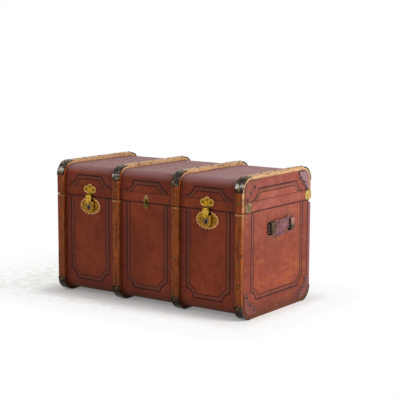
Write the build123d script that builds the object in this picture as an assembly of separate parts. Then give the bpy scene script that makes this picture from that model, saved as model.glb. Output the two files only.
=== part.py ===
from build123d import *
import math
import os

# Slatted travel trunk: millimetres, +Z up, front at -Y, origin at the middle of the footprint

# Overall sizes, over the bent wood slats
trunk_width = 900.0
trunk_depth = 490.0
seam_height = 402.0
lid_height = 134.0

# Wooden walls and their covering
wall = 8.0
seam_gap = 0.6
fit_gap = 0.2
slat_count = 4
slat_width = 32.0
slat_thickness = 15.0
corner_radius = 58.0
slat_edge_radius = 2.5
slat_end_gap = 1.2
hinge_side_body_gap = 12.0
hinge_side_lid_gap = 8.0

# Linings and the wooden lip that keeps dust out
lining_sheet = 1.2
lip_thickness = 6.0
lip_depth = 50.0
lip_rise = 12.0
lip_to_lid_lining = 4.0

# Fibre band round the lid's lower edge
band_height = 38.0
band_sheet = 1.5

# Steel caps on the bends of the slats
cap_sheet = 1.2
cap_side_sheet = 1.0
cap_side_depth = 4.5

# Domed nails
nail_radius = 5.2
nail_rise = 2.8
body_leg_nails = 4
nail_below_seam = 27.0
nail_above_cap = 71.0
nail_above_seam = 39.0
top_nail_pitch = 98.0
cap_nail_angle = 9.0
small_nail_radius = 2.4
small_nail_rise = 1.0

# Leather corner patches on the two end faces
patch_sheet = 2.0
patch_along = 82.0
patch_up = 88.0
patch_tail = 12.0
patch_lobe_radius = 12.0
lid_patch_lobes = [(64.0, 27.0), (37.0, 47.0), (19.0, 71.0)]
body_patch_lobes = [(66.0, 21.0), (40.0, 42.0), (19.0, 73.0)]
rivet_radius = 6.0
rivet_rise = 2.8

# Brass plates on the corners of the lid's band
rim_plate_length = 43.0
rim_plate_height = 35.0
rim_plate_sheet = 1.2
rim_plate_corner = 9.0
rim_plate_front_setback = 17.0
rim_plate_back_setback = 2.0
rim_plate_lift = 1.0

# Locks: plate and case on the body, hinged hasp on the lid
lock_spacing = 572.0
brass_sheet = 1.2
lock_plate_drop = 38.0
lock_plate_half_width = 48.0
lock_plate_half_height = 31.5
lock_lobe_count = 20
lock_lobe_radius = 4.5
lock_nail_lobes = (1, 8, 11, 13, 16, 18)
lock_case_width = 46.0
lock_case_top_drop = 18.0
lock_case_height = 46.0
lock_case_depth = 9.0
lock_case_top_corner = 5.0
lock_case_bottom_corner = 19.0
lock_case_edge = 3.0
staple_slot_width = 11.0
staple_slot_depth = 13.0
bolt_section = 3.8
bolt_gap = 0.3
bolt_length = 15.0
bolt_throw = 13.0
bolt_drop = 23.0
keyhole_depth = 4.5
keyhole_radius = 2.6
keyhole_slot_width = 2.4
keyhole_slot_length = 8.0
keyhole_drop = 42.0

# Clover plate and hasp on the lid
hasp_plate_sheet = 1.5
clover_radius = 13.0
clover_side = 18.0
clover_side_rise = 28.0
clover_top_rise = 37.0
clover_middle_radius = 18.0
clover_middle_rise = 27.0
hasp_axis_rise = 6.0
knuckle_radius = 3.0
pin_radius = 1.4
pin_gap = 0.05
knuckle_gap = 0.4
hasp_width = 30.0
hasp_length = 34.0
hasp_shoulder_width = 24.0
hasp_shoulder_rise = 9.0
hasp_tip_width = 13.5
hasp_tip_radius = 6.0
hasp_sheet = 2.0
hasp_to_case = 0.6
hasp_knuckle_length = 14.0
staple_width = 8.0
staple_height = 12.0
staple_to_plate = 1.0
button_radius = 7.0
button_rise = 1.6

# Two part dowel in the middle of the front
dowel_seam_gap = 1.0
dowel_seam_width = 20.0
dowel_ear_width = 30.0
dowel_ear_offset = 8.0
dowel_ear_radius = 2.0
dowel_lid_height = 29.0
dowel_lid_end_width = 13.0
dowel_lid_end_radius = 6.0
dowel_body_height = 25.0
dowel_body_end_width = 5.0
dowel_body_end_radius = 2.0
dowel_prong_width = 7.0
dowel_prong_depth = 4.0
dowel_prong_rise = 13.0
dowel_prong_drop = 13.0
dowel_prong_nose = 1.2
dowel_clearance = 0.6
dowel_guide_wall = 3.0

# Handles: on each end two pressed brackets and a leather strap that runs under their bridges
handle_drop = 77.0
handle_shift = 18.0
handle_half_span = 70.0
bracket_length = 54.0
bracket_height = 76.0
bracket_corner = 10.0
bracket_sheet = 1.2
bracket_nail_along = 43.0
bracket_nail_up = 63.0
bridge_width = 24.0
bridge_opening = 43.0
bridge_inner_rise = 10.5
bridge_sheet = 2.2
bridge_corner = 8.0
strap_front_width = 62.0
strap_front_lift = -3.0
strap_back_width = 46.0
strap_back_lift = 12.0
strap_tail_width = 37.0
strap_sheet = 4.0
strap_play = 5.0
strap_gap = 0.5
strap_crown = 13.0
strap_corner = 9.0
strap_end_gap = 3.0
strap_stop_length = 7.0
strap_stop_sheet = 8.0

# Rear hinges
hinge_spacing = 290.0
hinge_length = 60.0
hinge_leaf_height = 34.0
hinge_sheet = 1.8
hinge_knuckle_radius = 3.2
hinge_axis_gap = 1.8
hinge_knuckles = 5
hinge_nail_pitch = 20.0
hinge_nail_reach = 22.0

# Folding lid stays inside both ends, with pivots as (Y, Z) from the hinge axis
stay_body_offset = (-59.5, -34.0)
stay_lid_offset = (-67.5, 26.0)
stay_lower_length = 70.8
stay_upper_length = 70.1
stay_sheet = 2.0
stay_half_width = 6.5
stay_rivet_radius = 3.0
stay_head_radius = 5.0
stay_head_rise = 1.0
stay_gap = 0.5
stay_boss_radius = 6.0
stay_boss_rise = 1.5
stay_plate_length = 30.0
stay_plate_height = 22.0
stay_plate_corner = 4.0

# Faces and places that several pieces share
trunk_height = seam_height + lid_height
half_width = trunk_width / 2
bend_y = trunk_depth / 2 - corner_radius
panel_y = trunk_depth / 2 - slat_thickness
panel_bottom = slat_thickness
panel_top = trunk_height - slat_thickness
panel_radius = corner_radius - slat_thickness
body_top = seam_height - seam_gap / 2
lid_bottom = seam_height + seam_gap / 2
inner_x = half_width - wall
lining_in = wall + fit_gap + lining_sheet
lip_out = lining_in + fit_gap
lip_in = lip_out + lip_thickness
band_x = half_width + band_sheet
band_y = panel_y + band_sheet
band_top = lid_bottom + band_height
handle_height = seam_height - handle_drop
slat_pitch = (trunk_width - slat_width) / (slat_count - 1)
slat_centres = [-half_width + slat_width / 2 + slat_pitch * i for i in range(slat_count)]


def save(name, solids):
    """Write one node: a single solid or a group of separate ones."""
    group = list(solids) if isinstance(solids, (list, tuple)) else [solids]
    shape = group[0] if len(group) == 1 else Compound(children=group)
    shape.label = name
    export_step(shape, os.path.join("parts", name + ".step"))


def slab(low, high):
    """Box between two opposite corners."""
    size = [b - a for a, b in zip(low, high)]
    middle = [(a + b) / 2 for a, b in zip(low, high)]
    return Pos(*middle) * Box(*size)


def rod_x(centre_y, centre_z, radius, start_x, end_x):
    """Round bar along X between two places."""
    middle = (start_x + end_x) / 2
    return Pos(middle, centre_y, centre_z) * Rot(0, 90, 0) * Cylinder(radius, abs(end_x - start_x))


def rod_y(centre_x, centre_z, radius, start_y, end_y):
    """Round bar along Y between two places."""
    middle = (start_y + end_y) / 2
    return Pos(centre_x, middle, centre_z) * Rot(90, 0, 0) * Cylinder(radius, abs(end_y - start_y))


def prism_x(sketch, start_x, end_x):
    """Prism along X of a sketch drawn in Y and Z."""
    return Pos(start_x, 0, 0) * extrude(Plane.YZ * sketch, amount=end_x - start_x)


def prism_y(sketch, start_y, end_y):
    """Prism along Y of a sketch drawn in X and Z."""
    return Pos(0, end_y, 0) * extrude(Plane.XZ * sketch, amount=end_y - start_y)


def tray_face(half_y, closed_z, open_z, radius):
    """Outline of the trunk's cross section: square at the seam, rounded at the closed side."""
    low, high = sorted((closed_z, open_z))
    face = Pos(0, (low + high) / 2) * Rectangle(2 * half_y, high - low)
    rows = face.vertices().group_by(Axis.Y)
    corners = rows[0] if closed_z < open_z else rows[-1]
    return fillet(corners, radius)


def body_face(inset, top):
    """Body outline, set in from its outer face."""
    return tray_face(panel_y - inset, panel_bottom + inset, top, panel_radius - inset)


def lid_face(inset, bottom):
    """Lid outline, set in from its outer face."""
    return tray_face(panel_y - inset, panel_top - inset, bottom, panel_radius - inset)


def nail(radius, rise):
    """Domed head that stands on the XY plane."""
    ball = (radius ** 2 + rise ** 2) / (2 * rise)
    dome = Pos(0, 0, rise - ball) * Sphere(ball)
    return dome & (Pos(0, 0, rise / 2) * Box(2 * radius + 1, 2 * radius + 1, rise))


def nails_at(shape, places):
    """Copies of one nail, each placed by a location."""
    return [place * shape for place in places]


def facing(x, y, z, direction):
    """Location at a point whose +Z looks along a direction."""
    return Plane(origin=(x, y, z), z_dir=direction).location


def wall_shell(face_of, open_z):
    """Bent board between the two end panels."""
    outer = face_of(0, open_z)
    inner = face_of(wall, open_z)
    return prism_x(outer - inner, -inner_x, inner_x)


def lining(face_of, open_z):
    """Thin lining that follows the inside of the walls and both ends."""
    skin = wall + fit_gap
    outer = prism_x(face_of(skin, open_z), -half_width + skin, half_width - skin)
    inner = prism_x(face_of(lining_in, open_z), -half_width + lining_in, half_width - lining_in)
    return outer - inner


def rim(out_inset, in_inset, low, high):
    """Square ring in plan, set in from the walls' outer faces."""
    outer = Rectangle(2 * (half_width - out_inset), 2 * (panel_y - out_inset))
    inner = Rectangle(2 * (half_width - in_inset), 2 * (panel_y - in_inset))
    return Pos(0, 0, low) * extrude(outer - inner, amount=high - low)


def slat_bar(length):
    """Straight slat along Z from the origin, its outer side at -Y, with eased edges."""
    bar = slab((-slat_width / 2, -slat_thickness, 0), (slat_width / 2, 0, length))
    bar = fillet(bar.edges().filter_by(Axis.Z).group_by(Axis.Y)[0], slat_edge_radius)
    end_edge = bar.faces().sort_by(Axis.Z)[-1].edges().sort_by(Axis.Y)[0]
    return fillet(end_edge, slat_edge_radius)


def quadrant(radius, side, away):
    """Square window over one quarter of a circle."""
    return Pos(side * radius / 2, away * radius / 2) * Rectangle(radius, radius)


def slat_bend(side, away):
    """Quarter bend of a slat about the origin, thinner under its steel cap."""
    outer = corner_radius - cap_sheet - fit_gap
    ring = (Circle(outer) - Circle(panel_radius)) & quadrant(outer, side, away)
    return prism_x(ring, -slat_width / 2, slat_width / 2)


def bend_z(away):
    """Height of the bends' centres on the lid (1) or the body (-1)."""
    return trunk_height - corner_radius if away > 0 else corner_radius


def slat(away, front_end, back_end):
    """Slat bent round the front, the closed side and the back of the lid (1) or the body (-1)."""
    centre_z = bend_z(away)
    turn = Rot(0, 180, 0) if away > 0 else Rot(0, 0, 0)
    front = Pos(0, -panel_y, centre_z) * turn * slat_bar(abs(front_end - centre_z))
    back = Pos(0, panel_y, centre_z) * Rot(0, 0, 180) * turn * slat_bar(abs(back_end - centre_z))
    low, high = sorted((centre_z + away * corner_radius, centre_z + away * panel_radius))
    flat = slab((-slat_width / 2, -bend_y, low), (slat_width / 2, bend_y, high))
    flat_edges = flat.edges().filter_by(Axis.Y).group_by(Axis.Z)[-1 if away > 0 else 0]
    whole = front + back + fillet(flat_edges, slat_edge_radius)
    for side in (-1, 1):
        whole += Pos(0, side * bend_y, centre_z) * slat_bend(side, away)
    return whole


def slat_cap(side, away):
    """Steel channel about the origin, bent over one bend of a slat."""
    hollow_x = slat_width / 2 + fit_gap / 2
    wide = hollow_x + cap_side_sheet
    cheek = corner_radius - cap_side_depth
    sector = (Circle(corner_radius) - Circle(cheek)) & quadrant(corner_radius, side, away)
    hollow = prism_x(Circle(corner_radius - cap_sheet), -hollow_x, hollow_x)
    return prism_x(sector, -wide, wide) - hollow


def caps(away):
    """Eight caps of the lid (1) or the body (-1)."""
    pieces = []
    for side in (-1, 1):
        cap = slat_cap(side, away)
        pieces += [Pos(x, side * bend_y, bend_z(away)) * cap for x in slat_centres]
    return pieces


def cap_nail_place(x, side, away, degrees):
    """Place of a nail on a cap, at an angle from the horizontal."""
    angle = math.radians(degrees)
    direction = (0, side * math.cos(angle), away * math.sin(angle))
    y = side * bend_y + corner_radius * direction[1]
    z = bend_z(away) + corner_radius * direction[2]
    return facing(x, y, z, direction)


def body_nail_places():
    """Slat nails of the body: evenly down the front and the back, and one on each cap."""
    highest = seam_height - nail_below_seam
    pitch = (highest - corner_radius - nail_above_cap) / (body_leg_nails - 1)
    places = []
    for x in slat_centres:
        for side in (-1, 1):
            for step in range(body_leg_nails):
                places.append(facing(x, side * trunk_depth / 2, highest - pitch * step, (0, side, 0)))
            places.append(cap_nail_place(x, side, -1, cap_nail_angle))
    return places


def lid_nail_places():
    """Slat nails of the lid: one on each leg, three along the top and two on each cap."""
    places = []
    for x in slat_centres:
        for side in (-1, 1):
            places.append(facing(x, side * trunk_depth / 2, seam_height + nail_above_seam, (0, side, 0)))
            for degrees in (cap_nail_angle, 90 - cap_nail_angle):
                places.append(cap_nail_place(x, side, 1, degrees))
        for step in (-1, 0, 1):
            places.append(facing(x, step * top_nail_pitch, trunk_height, (0, 0, 1)))
    return places


def patch_lobes(away):
    """Lobes of the lid's (1) or the body's (-1) patches, inwards from the corner along Y and Z."""
    return lid_patch_lobes if away > 0 else body_patch_lobes


def patch_face(side, away, limit_z):
    """Scalloped corner patch on an end face, cut to the rounded corner and to a height."""
    flat_z = panel_top if away > 0 else panel_bottom
    first, middle, _ = patch_lobes(away)
    points = [(0, 0), (patch_along, 0), (patch_along - patch_tail, first[1]), middle,
              (patch_tail, patch_up), (0, patch_up)]
    placed = [(side * (panel_y - u), flat_z - away * v) for u, v in points]
    face = make_face(Polyline(*placed, close=True))
    for u, v in patch_lobes(away):
        face += Pos(side * (panel_y - u), flat_z - away * v) * Circle(patch_lobe_radius)
    outline = lid_face(0, limit_z) if away > 0 else body_face(0, limit_z)
    return face & outline


def patches(end, away):
    """Two corner patches on one end of the body or the lid."""
    limit_z = band_top + fit_gap if away > 0 else body_top
    start, stop = sorted((end * half_width, end * (half_width + patch_sheet)))
    return [prism_x(patch_face(side, away, limit_z), start, stop) for side in (-1, 1)]


def patch_rivet_places(away):
    """Rivets in the lobes of the corner patches."""
    flat_z = panel_top if away > 0 else panel_bottom
    places = []
    for end in (-1, 1):
        for side in (-1, 1):
            for u, v in patch_lobes(away):
                y = side * (panel_y - u)
                places.append(facing(end * (half_width + patch_sheet), y, flat_z - away * v, (end, 0, 0)))
    return places


# Places (Y) and height of the rim plates' middles
rim_plate_front_y = -trunk_depth / 2 + rim_plate_front_setback + rim_plate_length / 2
rim_plate_back_y = trunk_depth / 2 - rim_plate_back_setback - rim_plate_length / 2
rim_plate_z = lid_bottom + rim_plate_lift + rim_plate_height / 2


def rim_plates():
    """Brass plates on the band at the lid's four corners."""
    plates = []
    outline = RectangleRounded(rim_plate_length, rim_plate_height, rim_plate_corner)
    for end in (-1, 1):
        start, stop = sorted((end * band_x, end * (band_x + rim_plate_sheet)))
        for y in (rim_plate_front_y, rim_plate_back_y):
            plates.append(prism_x(Pos(y, rim_plate_z) * outline, start, stop))
    return plates


def rim_plate_nail_places():
    """One nail in each corner plate."""
    places = []
    for end in (-1, 1):
        for y in (rim_plate_front_y, rim_plate_back_y):
            places.append(facing(end * (band_x + rim_plate_sheet), y, rim_plate_z, (end, 0, 0)))
    return places


# Lock faces, measured outwards from the front
case_back_y = -panel_y - brass_sheet
case_front_y = case_back_y - lock_case_depth
hasp_back_y = case_front_y - hasp_to_case
hasp_front_y = hasp_back_y - hasp_sheet
hasp_axis_z = seam_height + hasp_axis_rise
hasp_axis_y = hasp_front_y + knuckle_radius
clover_back_y = -band_y
clover_front_y = clover_back_y - hasp_plate_sheet
bolt_y = (case_front_y + case_back_y) / 2
bolt_z = seam_height - bolt_drop
case_top = seam_height - lock_case_top_drop


def lock_lobe(x, step):
    """Place (X, Z) of one lobe on the rim of the lock plate."""
    angle = 2 * math.pi * (step + 0.5) / lock_lobe_count
    lobe_x = x + lock_plate_half_width * math.cos(angle)
    lobe_z = seam_height - lock_plate_drop + lock_plate_half_height * math.sin(angle)
    return (lobe_x, lobe_z)


def lock_plate(x):
    """Scalloped brass plate behind the lock case."""
    face = Pos(x, seam_height - lock_plate_drop) * Ellipse(lock_plate_half_width, lock_plate_half_height)
    for step in range(lock_lobe_count):
        face += Pos(*lock_lobe(x, step)) * Circle(lock_lobe_radius)
    return prism_y(face, case_back_y, -panel_y)


def lock_plate_nail_places(x):
    """Nails in the plate's lobes that the case leaves clear."""
    lobes = [lock_lobe(x, step) for step in lock_nail_lobes]
    return [facing(lobe_x, case_back_y, lobe_z, (0, -1, 0)) for lobe_x, lobe_z in lobes]


def lock_case(x):
    """Lock housing with an open slot for the hasp's staple, a bolt channel and a keyhole."""
    low = (x - lock_case_width / 2, case_front_y, case_top - lock_case_height)
    high = (x + lock_case_width / 2, case_back_y, case_top)
    case = slab(low, high)
    case = fillet(case.edges().filter_by(Axis.Y).group_by(Axis.Z)[0], lock_case_bottom_corner)
    case = fillet(case.faces().sort_by(Axis.Z)[-1].edges().filter_by(Axis.Y), lock_case_top_corner)
    case = fillet(case.faces().sort_by(Axis.Y)[0].edges(), lock_case_edge)
    slot = slab((x - staple_slot_width / 2, case_front_y - 1, case_top - staple_slot_depth),
                (x + staple_slot_width / 2, case_back_y + 1, case_top + 1))
    half = bolt_section / 2 + bolt_gap
    reach = staple_slot_width / 2 + bolt_length + 2 * bolt_gap
    channel = slab((x - reach, bolt_y - half, bolt_z - half),
                   (x + bolt_throw + bolt_gap, bolt_y + half, bolt_z + half))
    keyhole_z = seam_height - keyhole_drop
    keyhole_end = case_front_y + keyhole_depth
    keyhole = rod_y(x, keyhole_z, keyhole_radius, case_front_y - 1, keyhole_end)
    keyway = slab((x - keyhole_slot_width / 2, case_front_y - 1, keyhole_z - keyhole_slot_length),
                  (x + keyhole_slot_width / 2, keyhole_end, keyhole_z))
    return case - slot - channel - keyhole - keyway


def lock_bolt(x):
    """Sliding bolt, drawn back beside the slot."""
    half = bolt_section / 2
    end_x = x - staple_slot_width / 2 - bolt_gap
    return slab((end_x - bolt_length, bolt_y - half, bolt_z - half), (end_x, bolt_y + half, bolt_z + half))


def hasp_plate(x):
    """Clover plate on the lid, with the two outer knuckles of the hasp's hinge."""
    face = Pos(x, seam_height + clover_middle_rise) * Circle(clover_middle_radius)
    for side in (-1, 1):
        face += Pos(x + side * clover_side, seam_height + clover_side_rise) * Circle(clover_radius)
    face += Pos(x, seam_height + clover_top_rise) * Circle(clover_radius)
    foot_top = seam_height + clover_middle_rise
    foot_height = foot_top - hasp_axis_z
    face += Pos(x, hasp_axis_z + foot_height / 2) * Rectangle(hasp_width, foot_height)
    plate = prism_y(face, clover_front_y, clover_back_y)
    half_gap = hasp_knuckle_length / 2 + knuckle_gap
    for side in (-1, 1):
        start, stop = sorted((x + side * half_gap, x + side * hasp_width / 2))
        plate += rod_x(hasp_axis_y, hasp_axis_z, knuckle_radius, start, stop)
        plate += slab((start, hasp_axis_y, hasp_axis_z - hasp_plate_sheet / 2),
                      (stop, clover_back_y, hasp_axis_z + knuckle_radius))
    bore = rod_x(hasp_axis_y, hasp_axis_z, pin_radius + pin_gap, x - hasp_width, x + hasp_width)
    return plate - bore


def hasp_plate_nail_places(x):
    """Nails in the three leaves of the clover."""
    spots = [(-clover_side, clover_side_rise), (clover_side, clover_side_rise), (0, clover_top_rise)]
    return [facing(x + u, clover_front_y, seam_height + v, (0, -1, 0)) for u, v in spots]


def hasp_outline(x):
    """Tapered outline of the tongue, with a rounded tip."""
    root_z = hasp_axis_z - knuckle_radius - knuckle_gap
    tip_z = hasp_axis_z - hasp_length
    shoulder_z = tip_z + hasp_shoulder_rise
    right = [(hasp_width / 2, root_z), (hasp_shoulder_width / 2, shoulder_z), (hasp_tip_width / 2, tip_z)]
    left = [(-u, v) for u, v in reversed(right)]
    face = make_face(Polyline(*[(x + u, v) for u, v in right + left], close=True))
    return fillet(face.vertices().group_by(Axis.Y)[0], hasp_tip_radius)


def hasp(x):
    """Tongue with its middle knuckle, button and the staple that the bolt passes through."""
    half = hasp_knuckle_length / 2
    tongue = prism_y(hasp_outline(x), hasp_front_y, hasp_back_y)
    tongue += rod_x(hasp_axis_y, hasp_axis_z, knuckle_radius, x - half, x + half)
    tongue += slab((x - half, hasp_front_y, hasp_axis_z - 2 * knuckle_radius),
                   (x + half, hasp_back_y, hasp_axis_z))
    tongue += rod_y(x, bolt_z, button_radius, hasp_front_y - button_rise, hasp_front_y)
    tongue += slab((x - staple_width / 2, hasp_back_y, bolt_z - staple_height / 2),
                   (x + staple_width / 2, case_back_y - staple_to_plate, bolt_z + staple_height / 2))
    half_hole = bolt_section / 2 + bolt_gap
    hole = slab((x - staple_width, bolt_y - half_hole, bolt_z - half_hole),
                (x + staple_width, bolt_y + half_hole, bolt_z + half_hole))
    bore = rod_x(hasp_axis_y, hasp_axis_z, pin_radius + pin_gap, x - hasp_width, x + hasp_width)
    return tongue - hole - bore


# Dowel faces, measured outwards from the front
prong_front_y = clover_front_y - dowel_prong_depth


def dowel_face(away):
    """Outline of one half of the dowel, widest at its ears and tapered away from the seam."""
    near = seam_height + away * (seam_gap / 2 + dowel_seam_gap)
    ear = near + away * dowel_ear_offset
    far = near + away * (dowel_lid_height if away > 0 else dowel_body_height)
    end_width = dowel_lid_end_width if away > 0 else dowel_body_end_width
    end_radius = dowel_lid_end_radius if away > 0 else dowel_body_end_radius
    right = [(dowel_seam_width / 2, near), (dowel_ear_width / 2, ear), (end_width / 2, far)]
    left = [(-u, v) for u, v in reversed(right)]
    outline = make_face(Polyline(*right, *left, close=True))
    corners = outline.vertices().group_by(Axis.Y)
    end_corners = corners[-1 if away > 0 else 0]
    outline = fillet(end_corners, end_radius)
    ears = outline.vertices().group_by(Axis.X)
    return fillet([*ears[0], *ears[-1]], dowel_ear_radius)


def dowel_lid():
    """Lid half of the dowel: plate and a prong that drops past the seam."""
    plate = prism_y(dowel_face(1), clover_front_y, clover_back_y)
    half = dowel_prong_width / 2
    prong = slab((-half, prong_front_y, seam_height - dowel_prong_drop),
                 (half, clover_front_y, seam_height + dowel_prong_rise))
    nose = prong.faces().sort_by(Axis.Z)[0].edges().filter_by(Axis.X)
    return plate + fillet(nose, dowel_prong_nose)


def dowel_body():
    """Body half of the dowel: plate with a guide round the prong, open at the top."""
    inner = dowel_prong_width / 2 + dowel_clearance
    outer = inner + dowel_guide_wall
    floor_z = seam_height - dowel_prong_drop - dowel_clearance
    top_z = body_top - dowel_seam_gap
    guide = slab((-outer, prong_front_y, floor_z - dowel_guide_wall), (outer, -panel_y, top_z))
    guide -= slab((-inner, prong_front_y - 1, floor_z), (inner, case_back_y, top_z + 1))
    return guide + prism_y(dowel_face(-1), case_back_y, -panel_y)


# Handle faces, measured outwards from the middle, and the places (Y) of its brackets
strap_in_x = half_width + bracket_sheet + strap_gap
bracket_places = (handle_shift - handle_half_span, handle_shift + handle_half_span)


def handle_bracket(end, y):
    """Pressed plate with a raised bridge, open to both sides for the strap."""
    bridge_out = bracket_sheet + bridge_inner_rise + bridge_sheet
    outline = Pos(bridge_out / 2, 0) * Rectangle(bridge_out, bridge_opening + 2 * bridge_sheet)
    outline = fillet(outline.vertices().group_by(Axis.X)[-1], bridge_corner)
    inside = bracket_sheet + bridge_inner_rise
    hollow = Pos(inside / 2, 0) * Rectangle(inside, bridge_opening)
    hollow = fillet(hollow.vertices().group_by(Axis.X)[-1], bridge_corner - bridge_sheet)
    bridge = extrude(Plane.XZ * (outline - hollow), amount=bridge_width / 2, both=True)
    plate = prism_x(RectangleRounded(bracket_length, bracket_height, bracket_corner), 0, bracket_sheet)
    bracket = bridge + plate
    if end < 0:
        bracket = mirror(bracket, about=Plane.YZ)
    return Pos(end * half_width, y, handle_height) * bracket


def handle_nail_places():
    """A nail in each corner of the handle brackets."""
    places = []
    for end in (-1, 1):
        for middle_y in bracket_places:
            for step in (-1, 1):
                for up in (-1, 1):
                    y = middle_y + step * bracket_nail_along / 2
                    z = handle_height + up * bracket_nail_up / 2
                    places.append(facing(end * (half_width + bracket_sheet), y, z, (end, 0, 0)))
    return places


def handle_strap(end):
    """Leather strap, crowned between the brackets, with a thick stop past each bridge."""
    flat_end = handle_half_span - bridge_width / 2 - strap_end_gap
    stop_start = handle_half_span + bridge_width / 2 + strap_end_gap
    tail_end = stop_start + strap_stop_length
    plan = Rectangle(strap_sheet, 2 * tail_end, align=(Align.MIN, Align.CENTER))
    plan -= Rectangle(strap_sheet, 2 * flat_end, align=(Align.MIN, Align.CENTER))
    for side in (-1, 1):
        stop = Rectangle(strap_stop_sheet, strap_stop_length, align=(Align.MIN, Align.CENTER))
        plan += Pos(0, side * (stop_start + strap_stop_length / 2)) * stop
    arcs = [ThreePointArc((x, -flat_end), (x + strap_crown, 0), (x, flat_end)) for x in (0, strap_sheet)]
    ends = [Line(arcs[0] @ at, arcs[1] @ at) for at in (0, 1)]
    plan += make_face([line.edge() for line in (*arcs, *ends)])
    strap = extrude(plan, amount=strap_front_width, both=True)
    front_low, front_high = strap_front_lift - strap_front_width / 2, strap_front_lift + strap_front_width / 2
    back_low, back_high = strap_back_lift - strap_back_width / 2, strap_back_lift + strap_back_width / 2
    corners = [(-flat_end, front_low), (flat_end, back_low), (flat_end, back_high), (-flat_end, front_high)]
    face = make_face(Polyline(*corners, close=True))
    face = fillet(face.vertices(), strap_corner) + Rectangle(2 * tail_end, strap_tail_width)
    strap &= prism_x(face, 0, strap_crown + strap_sheet)
    if end < 0:
        strap = mirror(strap, about=Plane.YZ)
    return Pos(end * strap_in_x, handle_shift, handle_height) * strap


# Rear hinge axis and the places of the hinges
hinge_y = band_y + hinge_knuckle_radius + hinge_axis_gap
hinge_z = seam_height
hinge_places = (-hinge_spacing, 0, hinge_spacing)


def hinge_leaf(x, away):
    """Leaf on the lid (1) or the body (-1), with its share of the knuckles."""
    back = band_y if away > 0 else panel_y
    near = hinge_z + away * (hinge_knuckle_radius + knuckle_gap)
    low, high = sorted((near, near + away * hinge_leaf_height))
    leaf = slab((x - hinge_length / 2, back, low), (x + hinge_length / 2, back + hinge_sheet, high))
    pitch = hinge_length / hinge_knuckles
    for step in range(0 if away > 0 else 1, hinge_knuckles, 2):
        start = x - hinge_length / 2 + pitch * step + knuckle_gap / 2
        stop = start + pitch - knuckle_gap
        leaf += rod_x(hinge_y, hinge_z, hinge_knuckle_radius, start, stop)
        web_low, web_high = sorted((hinge_z + away * hinge_knuckle_radius / 2, near + away * knuckle_gap))
        leaf += slab((start, back, web_low), (stop, hinge_y, web_high))
    return leaf - rod_x(hinge_y, hinge_z, pin_radius + pin_gap, x - hinge_length, x + hinge_length)


def hinge_pin(x):
    """Pin through all the knuckles of one hinge."""
    return rod_x(hinge_y, hinge_z, pin_radius, x - hinge_length / 2, x + hinge_length / 2)


def hinge_nail_places(away):
    """Three nails in each hinge leaf."""
    y = (band_y if away > 0 else panel_y) + hinge_sheet
    z = hinge_z + away * (hinge_knuckle_radius + hinge_nail_reach)
    steps = (-hinge_nail_pitch, 0, hinge_nail_pitch)
    return [facing(x + step, y, z, (0, 1, 0)) for x in hinge_places for step in steps]


# Stay pivots with the lid shut
stay_body_pivot = (hinge_y + stay_body_offset[0], hinge_z + stay_body_offset[1])
stay_lid_pivot = (hinge_y + stay_lid_offset[0], hinge_z + stay_lid_offset[1])


def stay_elbow():
    """Place of the stay's elbow with the lid shut, to the front of both pivots."""
    dy = stay_lid_pivot[0] - stay_body_pivot[0]
    dz = stay_lid_pivot[1] - stay_body_pivot[1]
    span = math.hypot(dy, dz)
    along = (stay_lower_length ** 2 - stay_upper_length ** 2 + span ** 2) / (2 * span)
    aside = math.sqrt(stay_lower_length ** 2 - along ** 2)
    y = stay_body_pivot[0] + (dy * along - dz * aside) / span
    z = stay_body_pivot[1] + (dz * along + dy * aside) / span
    return (y, z)


# Planes of the stays, measured inwards from the lip on the end
lip_face_x = half_width - lip_in
lower_outer_x = lip_face_x - stay_boss_rise
lower_inner_x = lower_outer_x - stay_sheet
upper_outer_x = lower_inner_x - stay_gap
upper_inner_x = upper_outer_x - stay_sheet
lid_wall_x = half_width - lining_in


def stay_link(start, stop):
    """Outline of a flat stay arm between two pivots, with a hole at the first."""
    dy, dz = stop[0] - start[0], stop[1] - start[1]
    angle = math.degrees(math.atan2(dz, dy))
    middle = Pos((start[0] + stop[0]) / 2, (start[1] + stop[1]) / 2) * Rot(0, 0, angle)
    link = middle * SlotCenterToCenter(math.hypot(dy, dz), 2 * stay_half_width)
    return link - Pos(*start) * Circle(stay_rivet_radius + pin_gap)


def stay_rivet(pivot, end, start_x, head_x):
    """Rivet along X with a flat head on its inner end."""
    shank = rod_x(*pivot, stay_rivet_radius, end * start_x, end * head_x)
    return shank + rod_x(*pivot, stay_head_radius, end * head_x, end * (head_x - stay_head_rise))


def stay_lower(end):
    """Lower arm with the elbow rivet fixed in it."""
    face = stay_link(stay_body_pivot, stay_elbow())
    arm = prism_x(face, *sorted((end * lower_outer_x, end * lower_inner_x)))
    return arm + stay_rivet(stay_elbow(), end, lower_inner_x, upper_inner_x - stay_gap)


def stay_upper(end):
    """Upper arm from the elbow to the lid."""
    face = stay_link(stay_elbow(), stay_lid_pivot)
    return prism_x(face, *sorted((end * upper_outer_x, end * upper_inner_x)))


def stay_body_rivet(end):
    """Rivet and washer that carry the lower arm on the lip."""
    washer = rod_x(*stay_body_pivot, stay_boss_radius, end * lip_face_x, end * (lower_outer_x + fit_gap))
    return washer + stay_rivet(stay_body_pivot, end, lip_face_x, lower_inner_x - fit_gap)


def stay_lid_stud(end):
    """Stud on a plate on the lid's end, which stops just short of the upper arm."""
    plate = RectangleRounded(stay_plate_length, stay_plate_height, stay_plate_corner)
    plate_span = sorted((end * lid_wall_x, end * (lid_wall_x - stay_boss_rise)))
    stud = rod_x(*stay_lid_pivot, stay_boss_radius, end * lid_wall_x, end * (upper_outer_x + stay_gap))
    return stud + prism_x(Pos(*stay_lid_pivot) * plate, *plate_span)


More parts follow.
